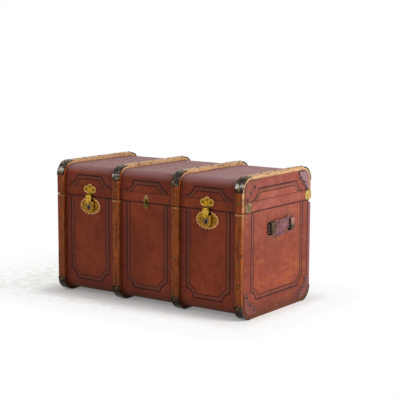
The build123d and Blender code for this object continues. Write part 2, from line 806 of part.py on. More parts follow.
def build():
    """Write every node of the trunk."""
    os.makedirs("parts", exist_ok=True)
    lock_places = {"left": -lock_spacing / 2, "right": lock_spacing / 2}
    ends = {"left": -1, "right": 1}
    slat_nail = nail(nail_radius, nail_rise)
    small_nail = nail(small_nail_radius, small_nail_rise)
    rivet = nail(rivet_radius, rivet_rise)

    # Body walls
    save("body_shell", wall_shell(body_face, body_top))
    save("body_lining", lining(body_face, body_top))
    save("body_lip", rim(lip_out, lip_in, seam_height - lip_depth, seam_height + lip_rise))

    # Lid walls
    save("lid_shell", wall_shell(lid_face, lid_bottom))
    save("lid_lining", lining(lid_face, seam_height + lip_rise + lip_to_lid_lining))
    save("lid_band", rim(-band_sheet, 0, lid_bottom, band_top))
    for name, end in ends.items():
        start, stop = sorted((end * inner_x, end * half_width))
        save("body_end_" + name, prism_x(body_face(0, body_top), start, stop))
        save("lid_end_" + name, prism_x(lid_face(0, lid_bottom), start, stop))

    # Bent wood slats, their caps and nails
    band_cut = slab((-band_x, -band_y, lid_bottom - 1), (band_x, band_y, band_top + fit_gap))
    body_slat = slat(-1, seam_height - slat_end_gap, seam_height - hinge_side_body_gap)
    lid_slat = slat(1, seam_height + slat_end_gap, seam_height + hinge_side_lid_gap) - band_cut
    for number, x in enumerate(slat_centres, start=1):
        save(f"body_slat_{number}", Pos(x, 0, 0) * body_slat)
        save(f"lid_slat_{number}", Pos(x, 0, 0) * lid_slat)
    save("body_slat_caps", caps(-1))
    save("lid_slat_caps", caps(1))
    save("body_slat_nails", nails_at(slat_nail, body_nail_places()))
    save("lid_slat_nails", nails_at(slat_nail, lid_nail_places()))

    # Leather corner patches and the lid's corner plates
    for name, end in ends.items():
        save("body_patches_" + name, patches(end, -1))
        save("lid_patches_" + name, patches(end, 1))
    save("body_patch_rivets", nails_at(rivet, patch_rivet_places(-1)))
    save("lid_patch_rivets", nails_at(rivet, patch_rivet_places(1)))
    save("lid_rim_plates", rim_plates())

    # Locks
    for name, x in lock_places.items():
        save("lock_plate_" + name, lock_plate(x))
        save("lock_case_" + name, lock_case(x))
        save("lock_bolt_" + name, lock_bolt(x))
        save("hasp_plate_" + name, hasp_plate(x))
        save("hasp_" + name, hasp(x))
    pin_half = hasp_width / 2
    save("hasp_pins", [rod_x(hasp_axis_y, hasp_axis_z, pin_radius, x - pin_half, x + pin_half)
                       for x in lock_places.values()])
    save("dowel_lid_half", dowel_lid())
    save("dowel_body_half", dowel_body())

    # Handles
    for name, end in ends.items():
        save("handle_brackets_" + name, [handle_bracket(end, y) for y in bracket_places])
        save("handle_strap_" + name, handle_strap(end))

    # Rear hinges
    save("hinge_body_leaves", [hinge_leaf(x, -1) for x in hinge_places])
    save("hinge_lid_leaves", [hinge_leaf(x, 1) for x in hinge_places])
    save("hinge_pins", [hinge_pin(x) for x in hinge_places])

    # Small nails of the plates, hinges and handles
    body_places = handle_nail_places() + hinge_nail_places(-1)
    lid_places = rim_plate_nail_places() + hinge_nail_places(1)
    for x in lock_places.values():
        body_places += lock_plate_nail_places(x)
        lid_places += hasp_plate_nail_places(x)
    save("body_small_nails", nails_at(small_nail, body_places))
    save("lid_small_nails", nails_at(small_nail, lid_places))

    # Lid stays
    for name, end in ends.items():
        save("stay_lower_" + name, stay_lower(end))
        save("stay_upper_" + name, stay_upper(end))
    save("stay_body_rivets", [stay_body_rivet(end) for end in ends.values()])
    save("stay_lid_studs", [stay_lid_stud(end) for end in ends.values()])


build()
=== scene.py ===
import math

import bmesh
import bpy
from mathutils import Matrix, Vector
from mathutils.geometry import delaunay_2d_cdt
from mathutils.noise import fractal


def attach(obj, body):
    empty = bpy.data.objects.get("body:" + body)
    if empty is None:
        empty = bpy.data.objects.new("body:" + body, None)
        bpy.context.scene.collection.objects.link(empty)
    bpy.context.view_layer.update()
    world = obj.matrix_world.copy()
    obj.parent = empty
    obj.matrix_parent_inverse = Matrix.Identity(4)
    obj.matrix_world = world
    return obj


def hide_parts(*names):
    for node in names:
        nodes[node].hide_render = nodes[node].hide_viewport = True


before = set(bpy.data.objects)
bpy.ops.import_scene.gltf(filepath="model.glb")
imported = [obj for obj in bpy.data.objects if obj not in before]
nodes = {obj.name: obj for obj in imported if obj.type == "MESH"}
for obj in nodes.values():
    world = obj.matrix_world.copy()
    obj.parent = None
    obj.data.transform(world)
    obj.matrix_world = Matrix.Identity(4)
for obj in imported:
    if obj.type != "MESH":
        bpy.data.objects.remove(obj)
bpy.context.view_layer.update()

# Sizes of the trunk, in metres
HALF_WIDTH = 0.450
HALF_DEPTH = 0.245
PANEL_Y = 0.230
HEIGHT = 0.536
SEAM = 0.402
BAND_TOP = 0.4403
BEND = 0.058
SLAT_PITCH = 0.28933
SLAT_HALF = 0.016
SLAT_THICKNESS = 0.015
LOCK_X = 0.286
LOCK_FACE_Z = 0.364
KEYHOLE_Z = 0.358
DOWEL_RING_Z = 0.4225
DOWEL_RING = 0.0050
HANDLE_Y = 0.018
HANDLE_Z = 0.325
BRIDGE_OFFSET = 0.070

# Round leaves of a clover plate: sideways from the lock's middle, up from the seam, radius
CLOVER_LEAVES = ((0.018, 0.028, 0.013), (0.0, 0.037, 0.013), (0.0, 0.027, 0.018))


def paint(red, green, blue):
    """Linear colour of an sRGB colour given from 0 to 255."""
    channels = [c / 255 for c in (red, green, blue)]
    linear = [c / 12.92 if c <= 0.04045 else ((c + 0.055) / 1.055) ** 2.4 for c in channels]
    return (*linear, 1.0)


class Finish:
    """One material and the nodes that make it."""

    def __init__(self, name):
        self.material = bpy.data.materials.new(name)
        self.material.use_nodes = True
        self.tree = self.material.node_tree
        self.tree.nodes.clear()
        self.output = self.node("ShaderNodeOutputMaterial")
        self.shader = self.node("ShaderNodeBsdfPrincipled")
        self.tree.links.new(self.shader.outputs[0], self.output.inputs["Surface"])
        coordinates = self.node("ShaderNodeTexCoord")
        self.place = coordinates.outputs["Object"]
        self.x, self.y, self.z = self.split(self.place)
        self.facing = coordinates.outputs["Normal"]

    def node(self, kind, **settings):
        made = self.tree.nodes.new(kind)
        for name, value in settings.items():
            setattr(made, name, value)
        return made

    def feed(self, socket, value):
        if isinstance(value, bpy.types.NodeSocket):
            self.tree.links.new(value, socket)
        else:
            socket.default_value = value

    def split(self, vector):
        parts = self.node("ShaderNodeSeparateXYZ")
        self.feed(parts.inputs[0], vector)
        return parts.outputs

    def join(self, x, y, z):
        made = self.node("ShaderNodeCombineXYZ")
        for socket, value in zip(made.inputs, (x, y, z)):
            self.feed(socket, value)
        return made.outputs[0]

    def math(self, operation, *values):
        made = self.node("ShaderNodeMath", operation=operation)
        for socket, value in zip(made.inputs, values):
            self.feed(socket, value)
        return made.outputs[0]

    def add(self, a, b):
        return self.math("ADD", a, b)

    def minus(self, a, b):
        return self.math("SUBTRACT", a, b)

    def times(self, a, b):
        return self.math("MULTIPLY", a, b)

    def most(self, a, b):
        return self.math("MAXIMUM", a, b)

    def least(self, a, b):
        return self.math("MINIMUM", a, b)

    def size(self, a):
        """Value without its sign."""
        return self.math("ABSOLUTE", a)

    def span(self, a, b):
        """Length of the flat vector with these two parts."""
        return self.math("SQRT", self.add(self.times(a, a), self.times(b, b)))

    def scaled(self, x, y, z):
        """Object coordinates stretched by three factors."""
        return self.join(self.times(self.x, x), self.times(self.y, y), self.times(self.z, z))

    def step(self, value, low, high, start=0.0, stop=1.0):
        """Smooth rise from start to stop while the value goes from low to high."""
        made = self.node("ShaderNodeMapRange", interpolation_type="SMOOTHSTEP")
        for socket, number in zip(made.inputs, (value, low, high, start, stop)):
            self.feed(socket, number)
        return made.outputs[0]

    def noise(self, scale, detail=4.0, roughness=0.55, vector=None, distortion=0.0):
        made = self.node("ShaderNodeTexNoise")
        self.feed(made.inputs["Vector"], self.place if vector is None else vector)
        made.inputs["Scale"].default_value = scale
        made.inputs["Detail"].default_value = detail
        made.inputs["Roughness"].default_value = roughness
        made.inputs["Distortion"].default_value = distortion
        return made.outputs[0]

    def cells(self, scale, vector=None, feature="F1"):
        made = self.node("ShaderNodeTexVoronoi", feature=feature)
        self.feed(made.inputs["Vector"], self.place if vector is None else vector)
        made.inputs["Scale"].default_value = scale
        return made.outputs["Distance"]

    def mix(self, share, low, high):
        made = self.node("ShaderNodeMix", data_type="RGBA")
        self.feed(made.inputs[0], share)
        self.feed(made.inputs[6], low)
        self.feed(made.inputs[7], high)
        return made.outputs[2]

    def coat(self, colour, share, strength, tint):
        """Colour with a tint laid over it where the share says."""
        return self.mix(self.times(share, strength), colour, tint)

    def blend(self, share, low, high):
        """Number between two numbers."""
        made = self.node("ShaderNodeMix", data_type="FLOAT")
        self.feed(made.inputs[0], share)
        self.feed(made.inputs[2], low)
        self.feed(made.inputs[3], high)
        return made.outputs[0]

    def carried(self, name):
        """Number that a modelled piece carries at its vertices."""
        return self.node("ShaderNodeAttribute", attribute_name=name).outputs["Fac"]

    def near(self, value, at, half):
        """One at a value, falling to nothing on both sides of it."""
        gap = self.size(self.minus(value, at))
        return self.step(gap, 0.0, half, 1.0, 0.0)

    def from_slat(self):
        """Sideways distance from the middle of the nearest slat."""
        return self.math("PINGPONG", self.add(self.x, 1.5 * SLAT_PITCH), SLAT_PITCH / 2)

    def relief(self, height, distance, below=None):
        """Bumps of a height over the bumps below."""
        made = self.node("ShaderNodeBump")
        made.inputs["Distance"].default_value = distance
        self.feed(made.inputs["Height"], height)
        if below is not None:
            self.feed(made.inputs["Normal"], below)
        return made.outputs[0]

    def finish(self, colour, roughness, normal=None, **constants):
        self.feed(self.shader.inputs["Base Color"], colour)
        self.feed(self.shader.inputs["Roughness"], roughness)
        if normal is not None:
            self.feed(self.shader.inputs["Normal"], normal)
        for name, value in constants.items():
            self.shader.inputs[name.replace("_", " ")].default_value = value
        return self.material

    def metal(self, colour, patchy, smoothest, roughest, pitted, depth, normal=None):
        """Metal with patchy roughness and small pits."""
        normal = self.relief(self.noise(pitted, 4.0, 0.6), depth, normal)
        return self.finish(colour, self.step(patchy, 0.35, 0.7, smoothest, roughest), normal, Metallic=1.0)


# Painted double lines on the covering, and the panels that they go round: height of the outer line away
# from the seam, half width, and how far the scooped corners reach in
FRONT_PANELS = {"body": (0.062, 0.0985, 0.035), "lid": (0.485, 0.0985, 0.035)}
END_PANELS = {"body": (0.070, 0.1825, 0.034), "lid": (0.485, 0.180, 0.044)}
LINE_GAP = 0.0158
LINE_HALF = 0.0030
THIN_LINE_HALF = 0.0024
LINE_SOFT = 0.0009
SCOOP_SHIFT = 0.008

# Fine weave under the varnish, in radians per metre, and the painted shade of a crevice down the ends' back
# edge
WEAVE = 4200.0
CREVICE_Y = 0.2220


def corner_distance(fin, sideways, beyond, half, reach):
    """Distance outside a panel outline whose corners are scooped out by a circle."""
    radius = math.hypot(reach + SCOOP_SHIFT, SCOOP_SHIFT)
    out = fin.minus(sideways, half)
    away = fin.span(fin.minus(out, SCOOP_SHIFT), fin.minus(beyond, SCOOP_SHIFT))
    scoop = fin.minus(radius, away)
    return fin.most(fin.most(out, beyond), scoop)


def panel_distance(fin, sideways, on_lid, panels):
    """Distance outside the panel outline of the body or of the lid."""
    bottom, half, reach = panels["body"]
    body = corner_distance(fin, sideways, fin.minus(bottom, fin.z), half, reach)
    top, half, reach = panels["lid"]
    lid = corner_distance(fin, sideways, fin.minus(fin.z, top), half, reach)
    return fin.blend(on_lid, body, lid)


def line(fin, distance, at, half):
    """One on a line that runs at a distance outside the outline."""
    gap = fin.size(fin.minus(distance, at))
    return fin.step(gap, half - LINE_SOFT, half + LINE_SOFT, 1.0, 0.0)


def double_line(fin, distance):
    """Heavy line on the outline and a thinner, fainter one inside it."""
    outer = line(fin, distance, 0.0, LINE_HALF)
    inner = line(fin, distance, -LINE_GAP, THIN_LINE_HALF)
    return fin.most(outer, fin.times(inner, 0.8))


def painted_panels(fin, colour, sideways, on_front, on_end):
    """Double lines round each panel, the band between them, and a darker margin outside."""
    on_lid = fin.math("GREATER_THAN", fin.z, SEAM)
    front = panel_distance(fin, sideways, on_lid, FRONT_PANELS)
    end = panel_distance(fin, fin.size(fin.y), on_lid, END_PANELS)
    lines = fin.add(fin.times(double_line(fin, front), fin.times(on_front, fin.minus(1.0, on_end))),
                    fin.times(double_line(fin, end), on_end))
    worn = fin.step(fin.noise(55.0, 4.0, 0.7), 0.28, 0.46)
    lines = fin.times(lines, fin.blend(worn, 0.68, 1.0))
    between = fin.blend(on_end, front, end)
    inner_edge = fin.step(between, -LINE_GAP, -LINE_GAP + 0.001)
    band = fin.times(inner_edge, fin.step(between, -0.001, 0.0, 1.0, 0.0))
    margin = fin.times(fin.step(between, 0.0, 0.002), fin.most(on_front, on_end))
    colour = fin.coat(colour, margin, 0.30, paint(104, 44, 38))
    colour = fin.coat(colour, band, 0.42, paint(94, 58, 48))
    return fin.coat(colour, lines, 0.92, paint(42, 20, 18))


def crevices(fin, colour, on_end):
    """Dark crevice painted as shade and mauve strip down the ends' back edge, painted shade and dirt along
    the seam, and a darker line over the band.
    """
    under_seam = fin.step(fin.z, SEAM - 0.004, SEAM - 0.002, 1.0, 0.0)
    back_edge = fin.times(fin.times(fin.step(fin.z, 0.066, 0.100), under_seam), on_end)
    strip = fin.step(fin.y, CREVICE_Y + 0.0020, CREVICE_Y + 0.0040, 0.0, 0.6)
    colour = fin.mix(fin.times(back_edge, strip), colour, paint(134, 80, 84))
    # Painted shade: a dark line where a crevice would shade the end face
    colour = fin.mix(fin.times(back_edge, fin.near(fin.y, CREVICE_Y, 0.0068)), colour, paint(46, 22, 10))
    # Painted shade and dirt along the seam between lid and body
    colour = fin.coat(colour, fin.near(fin.z, SEAM, 0.0058), 0.95, paint(46, 20, 16))
    # Darker line along the top edge of the band
    return fin.coat(colour, fin.near(fin.z, BAND_TOP, 0.0026), 0.6, paint(56, 26, 22))


def wear(fin, colour):
    """Rubbed spots, dark specks, long scratches and grime."""
    scuffs = fin.step(fin.noise(26.0, 8.0, 0.75, distortion=1.2), 0.64, 0.72)
    colour = fin.coat(colour, scuffs, 0.55, paint(182, 112, 80))
    specks = fin.step(fin.cells(85.0), 0.05, 0.10, 1.0, 0.0)
    specks = fin.times(specks, fin.step(fin.noise(14.0), 0.52, 0.60))
    colour = fin.coat(colour, specks, 0.8, paint(54, 24, 18))
    slanted = fin.add(fin.times(fin.x, 9.0), fin.times(fin.z, 4.0))
    scratch_at = fin.join(slanted, fin.times(fin.y, 9.0), fin.times(fin.z, 160.0))
    scratches = fin.step(fin.noise(1.0, 2.0, 0.5, scratch_at), 0.72, 0.76)
    colour = fin.coat(colour, scratches, 0.4, paint(176, 118, 90))
    grime = fin.step(fin.noise(9.0, 7.0, 0.7, distortion=0.6), 0.56, 0.74)
    return fin.coat(colour, grime, 0.35, paint(66, 32, 24))


def fibre_cover(name, lined):
    """Varnished oxblood covering of the walls, with its painted lines where lined."""
    fin = Finish(name)
    sideways = fin.minus(SLAT_PITCH / 2, fin.from_slat())
    on_end = fin.step(fin.size(fin.x), HALF_WIDTH - 0.0018, HALF_WIDTH - 0.0008)
    on_front = fin.step(fin.size(fin.y), PANEL_Y - 0.0035, PANEL_Y - 0.0025)

    cloudy = fin.noise(5.0, 5.0, 0.6)
    fine = fin.noise(38.0, 6.0, 0.65)
    streaks = fin.noise(1.0, 4.0, 0.6, fin.scaled(70, 70, 7))
    # Share of upward-facing surface, which takes the painted sheen below
    top = fin.step(fin.split(fin.facing)[2], 0.25, 0.95)
    colour = fin.mix(fin.step(cloudy, 0.32, 0.68), paint(110, 44, 24), paint(140, 62, 36))
    colour = fin.mix(fin.step(fine, 0.42, 0.75, 0.0, 0.5), colour, paint(96, 40, 26))
    colour = fin.mix(fin.step(streaks, 0.5, 0.8, 0.0, 0.35), colour, paint(158, 82, 46))

    # Darker beside the slats and low down
    near_slat = fin.times(fin.step(sideways, 0.092, 0.129), fin.minus(1.0, on_end))
    colour = fin.coat(colour, near_slat, 0.5, paint(78, 34, 26))
    low = fin.step(fin.add(fin.z, fin.times(fine, 0.03)), 0.030, 0.090, 1.0, 0.0)
    colour = fin.coat(colour, low, 0.7, paint(72, 42, 28))

    # Painted light on the ends: they are painted lighter and pinker high up, with pink and orange fields in
    # them; and a painted sheen: the top is washed pale mauve, standing in for the reflection of the white
    # surroundings
    end_painted_light = fin.times(on_end, fin.step(fin.z, 0.20, 0.46, 0.15, 0.55))
    colour = fin.mix(end_painted_light, colour, paint(150, 84, 74))
    end_painted_flush = fin.times(end_painted_light, fin.step(fin.noise(13.0, 6.0, 0.7), 0.48, 0.62))
    colour = fin.coat(colour, end_painted_flush, 0.45, paint(172, 104, 96))
    end_painted_fields = fin.times(on_end, fin.step(fin.noise(1.0, 6.0, 0.7, fin.scaled(8, 8, 26)), 0.52, 0.66))
    colour = fin.coat(colour, end_painted_fields, 0.35, paint(176, 100, 54))
    colour = fin.coat(colour, top, 0.66, paint(160, 122, 124))

    if lined:
        colour = painted_panels(fin, colour, sideways, on_front, on_end)
    colour = wear(fin, crevices(fin, colour, on_end))

    weave = fin.times(fin.math("SINE", fin.times(fin.add(fin.x, fin.y), WEAVE)),
                      fin.math("SINE", fin.times(fin.z, WEAVE)))
    normal = fin.relief(weave, 0.00006)
    normal = fin.relief(fin.noise(420.0, 3.0, 0.6), 0.00022, normal)
    normal = fin.relief(fin.noise(16.0, 2.0, 0.5), 0.0022, normal)
    roughness = fin.step(fine, 0.3, 0.7, 0.44, 0.60)
    return fin.finish(colour, roughness, normal, Specular_IOR_Level=0.11)


def slat_course(fin):
    """Place on a bent slat: how far out, with BEND at its outer face, and how far along its course."""
    middle = HEIGHT / 2
    up = fin.size(fin.minus(fin.z, middle))
    out = fin.size(fin.y)
    bend_y, bend_z = HALF_DEPTH - BEND, middle - BEND
    past_y = fin.most(fin.minus(out, bend_y), 0.0)
    past_z = fin.most(fin.minus(up, bend_z), 0.0)
    depth = fin.span(past_y, past_z)
    turn = fin.times(fin.math("ARCTAN2", past_z, past_y), BEND)
    along = fin.add(fin.least(up, bend_z), fin.minus(bend_y, fin.least(out, bend_y)))
    return depth, fin.add(along, turn)


def slat_wood():
    """Bent ash slats: golden on top, rubbed pale with painted sheen, with a painted highlight high on the
    end sides, and darker varnish down the sides.
    """
    fin = Finish("slat_wood")
    depth, along = slat_course(fin)
    end_face = fin.step(fin.size(fin.x), HALF_WIDTH - 0.0015, HALF_WIDTH - 0.0002)
    across = fin.times(fin.add(fin.x, fin.times(fin.noise(9.0, 2.0), 0.02)), 340.0)
    grain = fin.noise(1.0, 5.0, 0.6, fin.join(across, fin.times(depth, 340.0), fin.times(along, 9.0)))
    pore_at = fin.join(fin.times(fin.x, 1500.0), fin.times(depth, 1500.0), fin.times(along, 45.0))
    pores = fin.noise(1.0, 3.0, 0.7, pore_at)
    blotch = fin.noise(22.0, 4.0, 0.6)
    top = fin.step(fin.z, 0.500, 0.532)
    dark = fin.mix(fin.step(grain, 0.35, 0.68), paint(106, 44, 14), paint(172, 86, 28))
    light = fin.mix(fin.step(grain, 0.32, 0.66), paint(166, 122, 80), paint(220, 180, 138))
    # Painted highlight: pale wood high up on the slats' end sides; on top the pale wood is rubbing and
    # painted sheen together
    end_side_highlight = fin.times(end_face, fin.step(fin.z, 0.30, 0.50))
    rubbed = fin.times(fin.most(top, fin.times(end_side_highlight, 0.8)), fin.step(blotch, 0.2, 0.6, 0.75, 1.0))
    colour = fin.mix(rubbed, dark, light)
    stain = fin.step(fin.noise(48.0, 6.0, 0.7), 0.46, 0.70)
    colour = fin.coat(colour, stain, 0.6, paint(62, 32, 20))
    colour = fin.mix(fin.step(pores, 0.58, 0.70, 0.0, 0.45), colour, paint(58, 32, 18))

    # Painted shade where the slats meet the covering, and rubbed along the outer arrises
    slat_foot_shade = fin.step(depth, BEND - SLAT_THICKNESS, BEND - SLAT_THICKNESS + 0.0035, 0.85, 0.0)
    colour = fin.mix(slat_foot_shade, colour, paint(34, 18, 14))
    arris = fin.times(fin.step(fin.from_slat(), SLAT_HALF - 0.0035, SLAT_HALF - 0.0010),
                      fin.step(depth, BEND - 0.0040, BEND - 0.0010))
    arris = fin.times(arris, fin.step(fin.noise(60.0, 5.0, 0.7), 0.42, 0.64))
    colour = fin.coat(colour, arris, 0.6, paint(178, 116, 66))

    # Knocks, pale chips under the seam, a mauve back side on the ends, and dirt low down
    knock = fin.step(fin.noise(34.0, 5.0, 0.75, distortion=0.8), 0.63, 0.70)
    colour = fin.coat(colour, knock, 0.5, paint(196, 146, 92))
    chipped = fin.step(fin.noise(70.0, 4.0, 0.7), 0.38, 0.52)
    chip = fin.times(fin.near(fin.z, SEAM - 0.0045, 0.0055), chipped)
    colour = fin.coat(colour, chip, 0.6, paint(222, 166, 112))
    back_side = fin.times(end_face, fin.step(fin.y, PANEL_Y - 0.004, PANEL_Y + 0.002))
    back_side = fin.times(back_side, fin.step(fin.z, SEAM - 0.004, SEAM, 0.8, 0.0))
    colour = fin.mix(back_side, colour, paint(138, 84, 88))
    foot = fin.step(fin.z, 0.03, 0.11, 1.0, 0.0)
    colour = fin.coat(colour, foot, 0.6, paint(52, 34, 22))

    height = fin.add(grain, fin.times(pores, 0.6))
    normal = fin.relief(height, 0.0005)
    normal = fin.relief(fin.noise(30.0, 3.0, 0.6), 0.0016, normal)
    roughness = fin.step(grain, 0.3, 0.7, 0.36, 0.55)
    return fin.finish(colour, roughness, normal, Specular_IOR_Level=0.15)


def old_metal(name, tones, smoothest, roughest, grime, scale):
    """Worn metal with dull patches, grime and fine scratches, in a bright, a dull and a dark tone."""
    fin = Finish(name)
    bright, dull, dark = (paint(*tone) for tone in tones)
    patchy = fin.noise(scale, 6.0, 0.68)
    colour = fin.mix(fin.step(patchy, 0.38, 0.62), bright, dull)
    soot = fin.step(fin.noise(scale * 1.9, 5.0, 0.7), 0.54, 0.70)
    colour = fin.coat(colour, soot, grime, dark)
    scratch = fin.noise(1.0, 3.0, 0.6, fin.scaled(900, 900, 90))
    roughness = fin.step(fin.add(patchy, fin.times(scratch, 0.3)), 0.4, 0.85, smoothest, roughest)
    normal = fin.relief(scratch, 0.00012)
    normal = fin.relief(fin.noise(90.0, 4.0, 0.6), 0.0006, normal)
    return fin.finish(colour, roughness, normal, Metallic=1.0)


def lacquer(name, black, worn):
    """Glossy black lacquer on rivet heads, worn to brown in spots."""
    fin = Finish(name)
    patchy = fin.noise(260.0, 5.0, 0.7)
    colour = fin.mix(fin.step(patchy, 0.54, 0.66), black, worn)
    roughness = fin.step(patchy, 0.3, 0.7, 0.20, 0.40)
    return fin.finish(colour, roughness, fin.relief(patchy, 0.0002), Specular_IOR_Level=0.3)


def cap_metal():
    """Blackened steel caps: painted glints and a painted highlight streak along the bend, brown at the very
    top and low down.
    """
    fin = Finish("cap_steel")
    shine = paint(214, 206, 196)
    patchy = fin.noise(75.0, 6.0, 0.68)
    colour = fin.mix(fin.step(patchy, 0.38, 0.62), paint(70, 64, 52), paint(26, 21, 19))
    # Painted glints: small white specks, mostly up high, partly rubbed bright steel and partly painted
    # reflection
    glint = fin.step(fin.noise(52.0, 7.0, 0.75, distortion=0.8), 0.58, 0.63)
    glint = fin.times(glint, fin.step(fin.z, 0.44, 0.50, 0.25, 1.0))
    colour = fin.coat(colour, glint, 0.9, shine)
    # Painted highlight: a pale streak along the bend, where a lamp would reflect
    bend_highlight = fin.times(fin.near(fin.z, 0.502, 0.016), fin.step(fin.noise(36.0, 5.0, 0.6), 0.47, 0.56))
    colour = fin.coat(colour, bend_highlight, 0.5, shine)
    worn = fin.times(fin.step(fin.z, 0.526, 0.535), fin.step(fin.noise(80.0, 5.0, 0.7), 0.36, 0.52))
    colour = fin.coat(colour, worn, 0.75, paint(128, 94, 62))
    rust = fin.times(fin.step(fin.noise(90.0, 6.0, 0.7), 0.46, 0.60), fin.step(fin.z, 0.05, 0.5, 1.0, 0.35))
    colour = fin.coat(colour, rust, 0.85, paint(50, 27, 17))
    normal = fin.relief(fin.noise(1.0, 3.0, 0.6, fin.scaled(900, 900, 90)), 0.00012)
    normal = fin.relief(fin.noise(45.0, 4.0, 0.6), 0.0016, normal)
    return fin.finish(colour, fin.step(patchy, 0.4, 0.7, 0.12, 0.32), normal, Metallic=1.0)


def lock_metal():
    """Brass lock case, rubbed grey in the middle of its face and dark round the keyhole."""
    fin = Finish("lock_metal")
    from_lock = fin.minus(fin.size(fin.x), LOCK_X)
    from_middle = fin.span(from_lock, fin.minus(fin.z, LOCK_FACE_Z))
    patchy = fin.noise(130.0, 6.0, 0.68)
    brass = fin.mix(fin.step(patchy, 0.38, 0.62), paint(178, 132, 38), paint(110, 74, 26))
    grey = fin.mix(fin.step(patchy, 0.35, 0.65), paint(124, 102, 78), paint(66, 50, 38))
    rubbed = fin.step(fin.add(from_middle, fin.times(patchy, 0.008)), 0.015, 0.023, 1.0, 0.0)
    colour = fin.mix(rubbed, brass, grey)
    hole = fin.span(from_lock, fin.times(fin.minus(fin.z, KEYHOLE_Z), 0.7))
    colour = fin.mix(fin.step(hole, 0.0025, 0.0085, 0.9, 0.0), colour, paint(26, 18, 14))
    return fin.metal(colour, patchy, 0.22, 0.48, 110.0, 0.0007)


def plain_wood(name, light, dark):
    """Bare wood that runs lengthways, in a light and a dark tone."""
    fin = Finish(name)
    grain = fin.noise(1.0, 5.0, 0.6, fin.scaled(14, 14, 260))
    colour = fin.mix(fin.step(grain, 0.35, 0.65), light, dark)
    colour = fin.mix(fin.step(fin.noise(30.0, 4.0), 0.5, 0.8, 0.0, 0.4), colour, dark)
    return fin.finish(colour, fin.step(grain, 0.3, 0.7, 0.5, 0.7), fin.relief(grain, 0.0003))


def lining_paper():
    """Cream paper with faint printed stripes and brown spots of age."""
    fin = Finish("lining_paper")
    stripe = fin.step(fin.math("PINGPONG", fin.add(fin.x, fin.y), 0.006), 0.0043, 0.0047)
    fibres = fin.noise(240.0, 5.0, 0.7)
    colour = fin.mix(fin.step(fin.noise(6.0, 5.0), 0.3, 0.7), paint(206, 190, 158), paint(186, 166, 132))
    colour = fin.coat(colour, stripe, 0.35, paint(138, 112, 98))
    fox = fin.step(fin.noise(34.0, 6.0, 0.7), 0.60, 0.72)
    colour = fin.coat(colour, fox, 0.5, paint(146, 106, 66))
    roughness = fin.step(fibres, 0.3, 0.7, 0.72, 0.86)
    return fin.finish(colour, roughness, fin.relief(fibres, 0.0002), Specular_IOR_Level=0.2)


def leather(fin, base, worn, dark):
    """Old leather with creases, rubbed high spots and dark grime: its colour, roughness and relief."""
    grain = fin.cells(620.0)
    bent = fin.join(fin.add(fin.x, fin.times(fin.noise(40.0), 0.02)), fin.y, fin.z)
    creases = fin.cells(70.0, bent, "DISTANCE_TO_EDGE")
    crease = fin.step(creases, 0.0, 0.10, 1.0, 0.0)
    rub = fin.step(fin.noise(46.0, 6.0, 0.68), 0.44, 0.66)
    colour = fin.mix(rub, base, worn)
    colour = fin.coat(colour, crease, 0.5, dark)
    colour = fin.mix(fin.step(fin.noise(90.0, 4.0, 0.7), 0.56, 0.72, 0.0, 0.6), colour, dark)
    normal = fin.relief(grain, 0.00025)
    normal = fin.relief(fin.times(crease, -1.0), 0.0006, normal)
    normal = fin.relief(fin.noise(60.0, 3.0), 0.0012, normal)
    return colour, fin.step(rub, 0.0, 1.0, 0.42, 0.62), normal


def patch_leather():
    """Corner patches: near the covering's colour, greyed mauve with pale speckles as a painted sheen at the
    back of the lid, and a painted shadow along the rim.
    """
    fin = Finish("patch_leather")
    colour, roughness, normal = leather(fin, paint(126, 54, 40), paint(148, 80, 64), paint(50, 22, 20))
    # Painted sheen: mauve grey with pale speckles on the patches at the back of the lid
    grey = fin.times(fin.step(fin.y, -0.05, 0.10), fin.step(fin.z, 0.40, 0.44))
    colour = fin.coat(colour, grey, 0.7, paint(134, 98, 102))
    speckle = fin.step(fin.noise(210.0, 4.0, 0.7), 0.54, 0.64)
    colour = fin.coat(colour, fin.times(speckle, grey), 0.7, paint(196, 176, 176))
    colour = fin.mix(fin.step(fin.z, 0.10, 0.30, 0.5, 0.0), colour, paint(92, 46, 36))
    # Painted shadow along the rim, where the leather lifts; strongest at the back of the lid
    rim = fin.step(fin.carried("rim"), 0.0010, 0.0052, 1.0, 0.0)
    colour = fin.mix(fin.times(rim, fin.add(0.45, fin.times(grey, 0.55))), colour, paint(32, 14, 16))
    return fin.finish(colour, roughness, normal, Specular_IOR_Level=0.3)


def strap_leather():
    """Handle straps: worn purplish leather, with painted shade on the ends where they run under the
    bridges, and a pale raw edge below.
    """
    fin = Finish("strap_leather")
    colour, roughness, normal = leather(fin, paint(92, 42, 46), paint(140, 88, 90), paint(40, 16, 18))
    # Painted shade: the strap darkens towards its ends, which run into the slots and under the bridges
    middle = fin.size(fin.minus(fin.y, HANDLE_Y))
    colour = fin.mix(fin.step(middle, 0.040, 0.062, 0.0, 0.8), colour, paint(38, 18, 16))
    ragged = fin.add(fin.carried("rim"), fin.times(fin.noise(120.0), 0.002))
    raw = fin.times(fin.step(ragged, 0.0014, 0.0034, 1.0, 0.0), fin.step(fin.noise(70.0), 0.35, 0.5))
    colour = fin.coat(colour, raw, 0.85, paint(206, 158, 116))
    return fin.finish(colour, roughness, normal, Specular_IOR_Level=0.4)


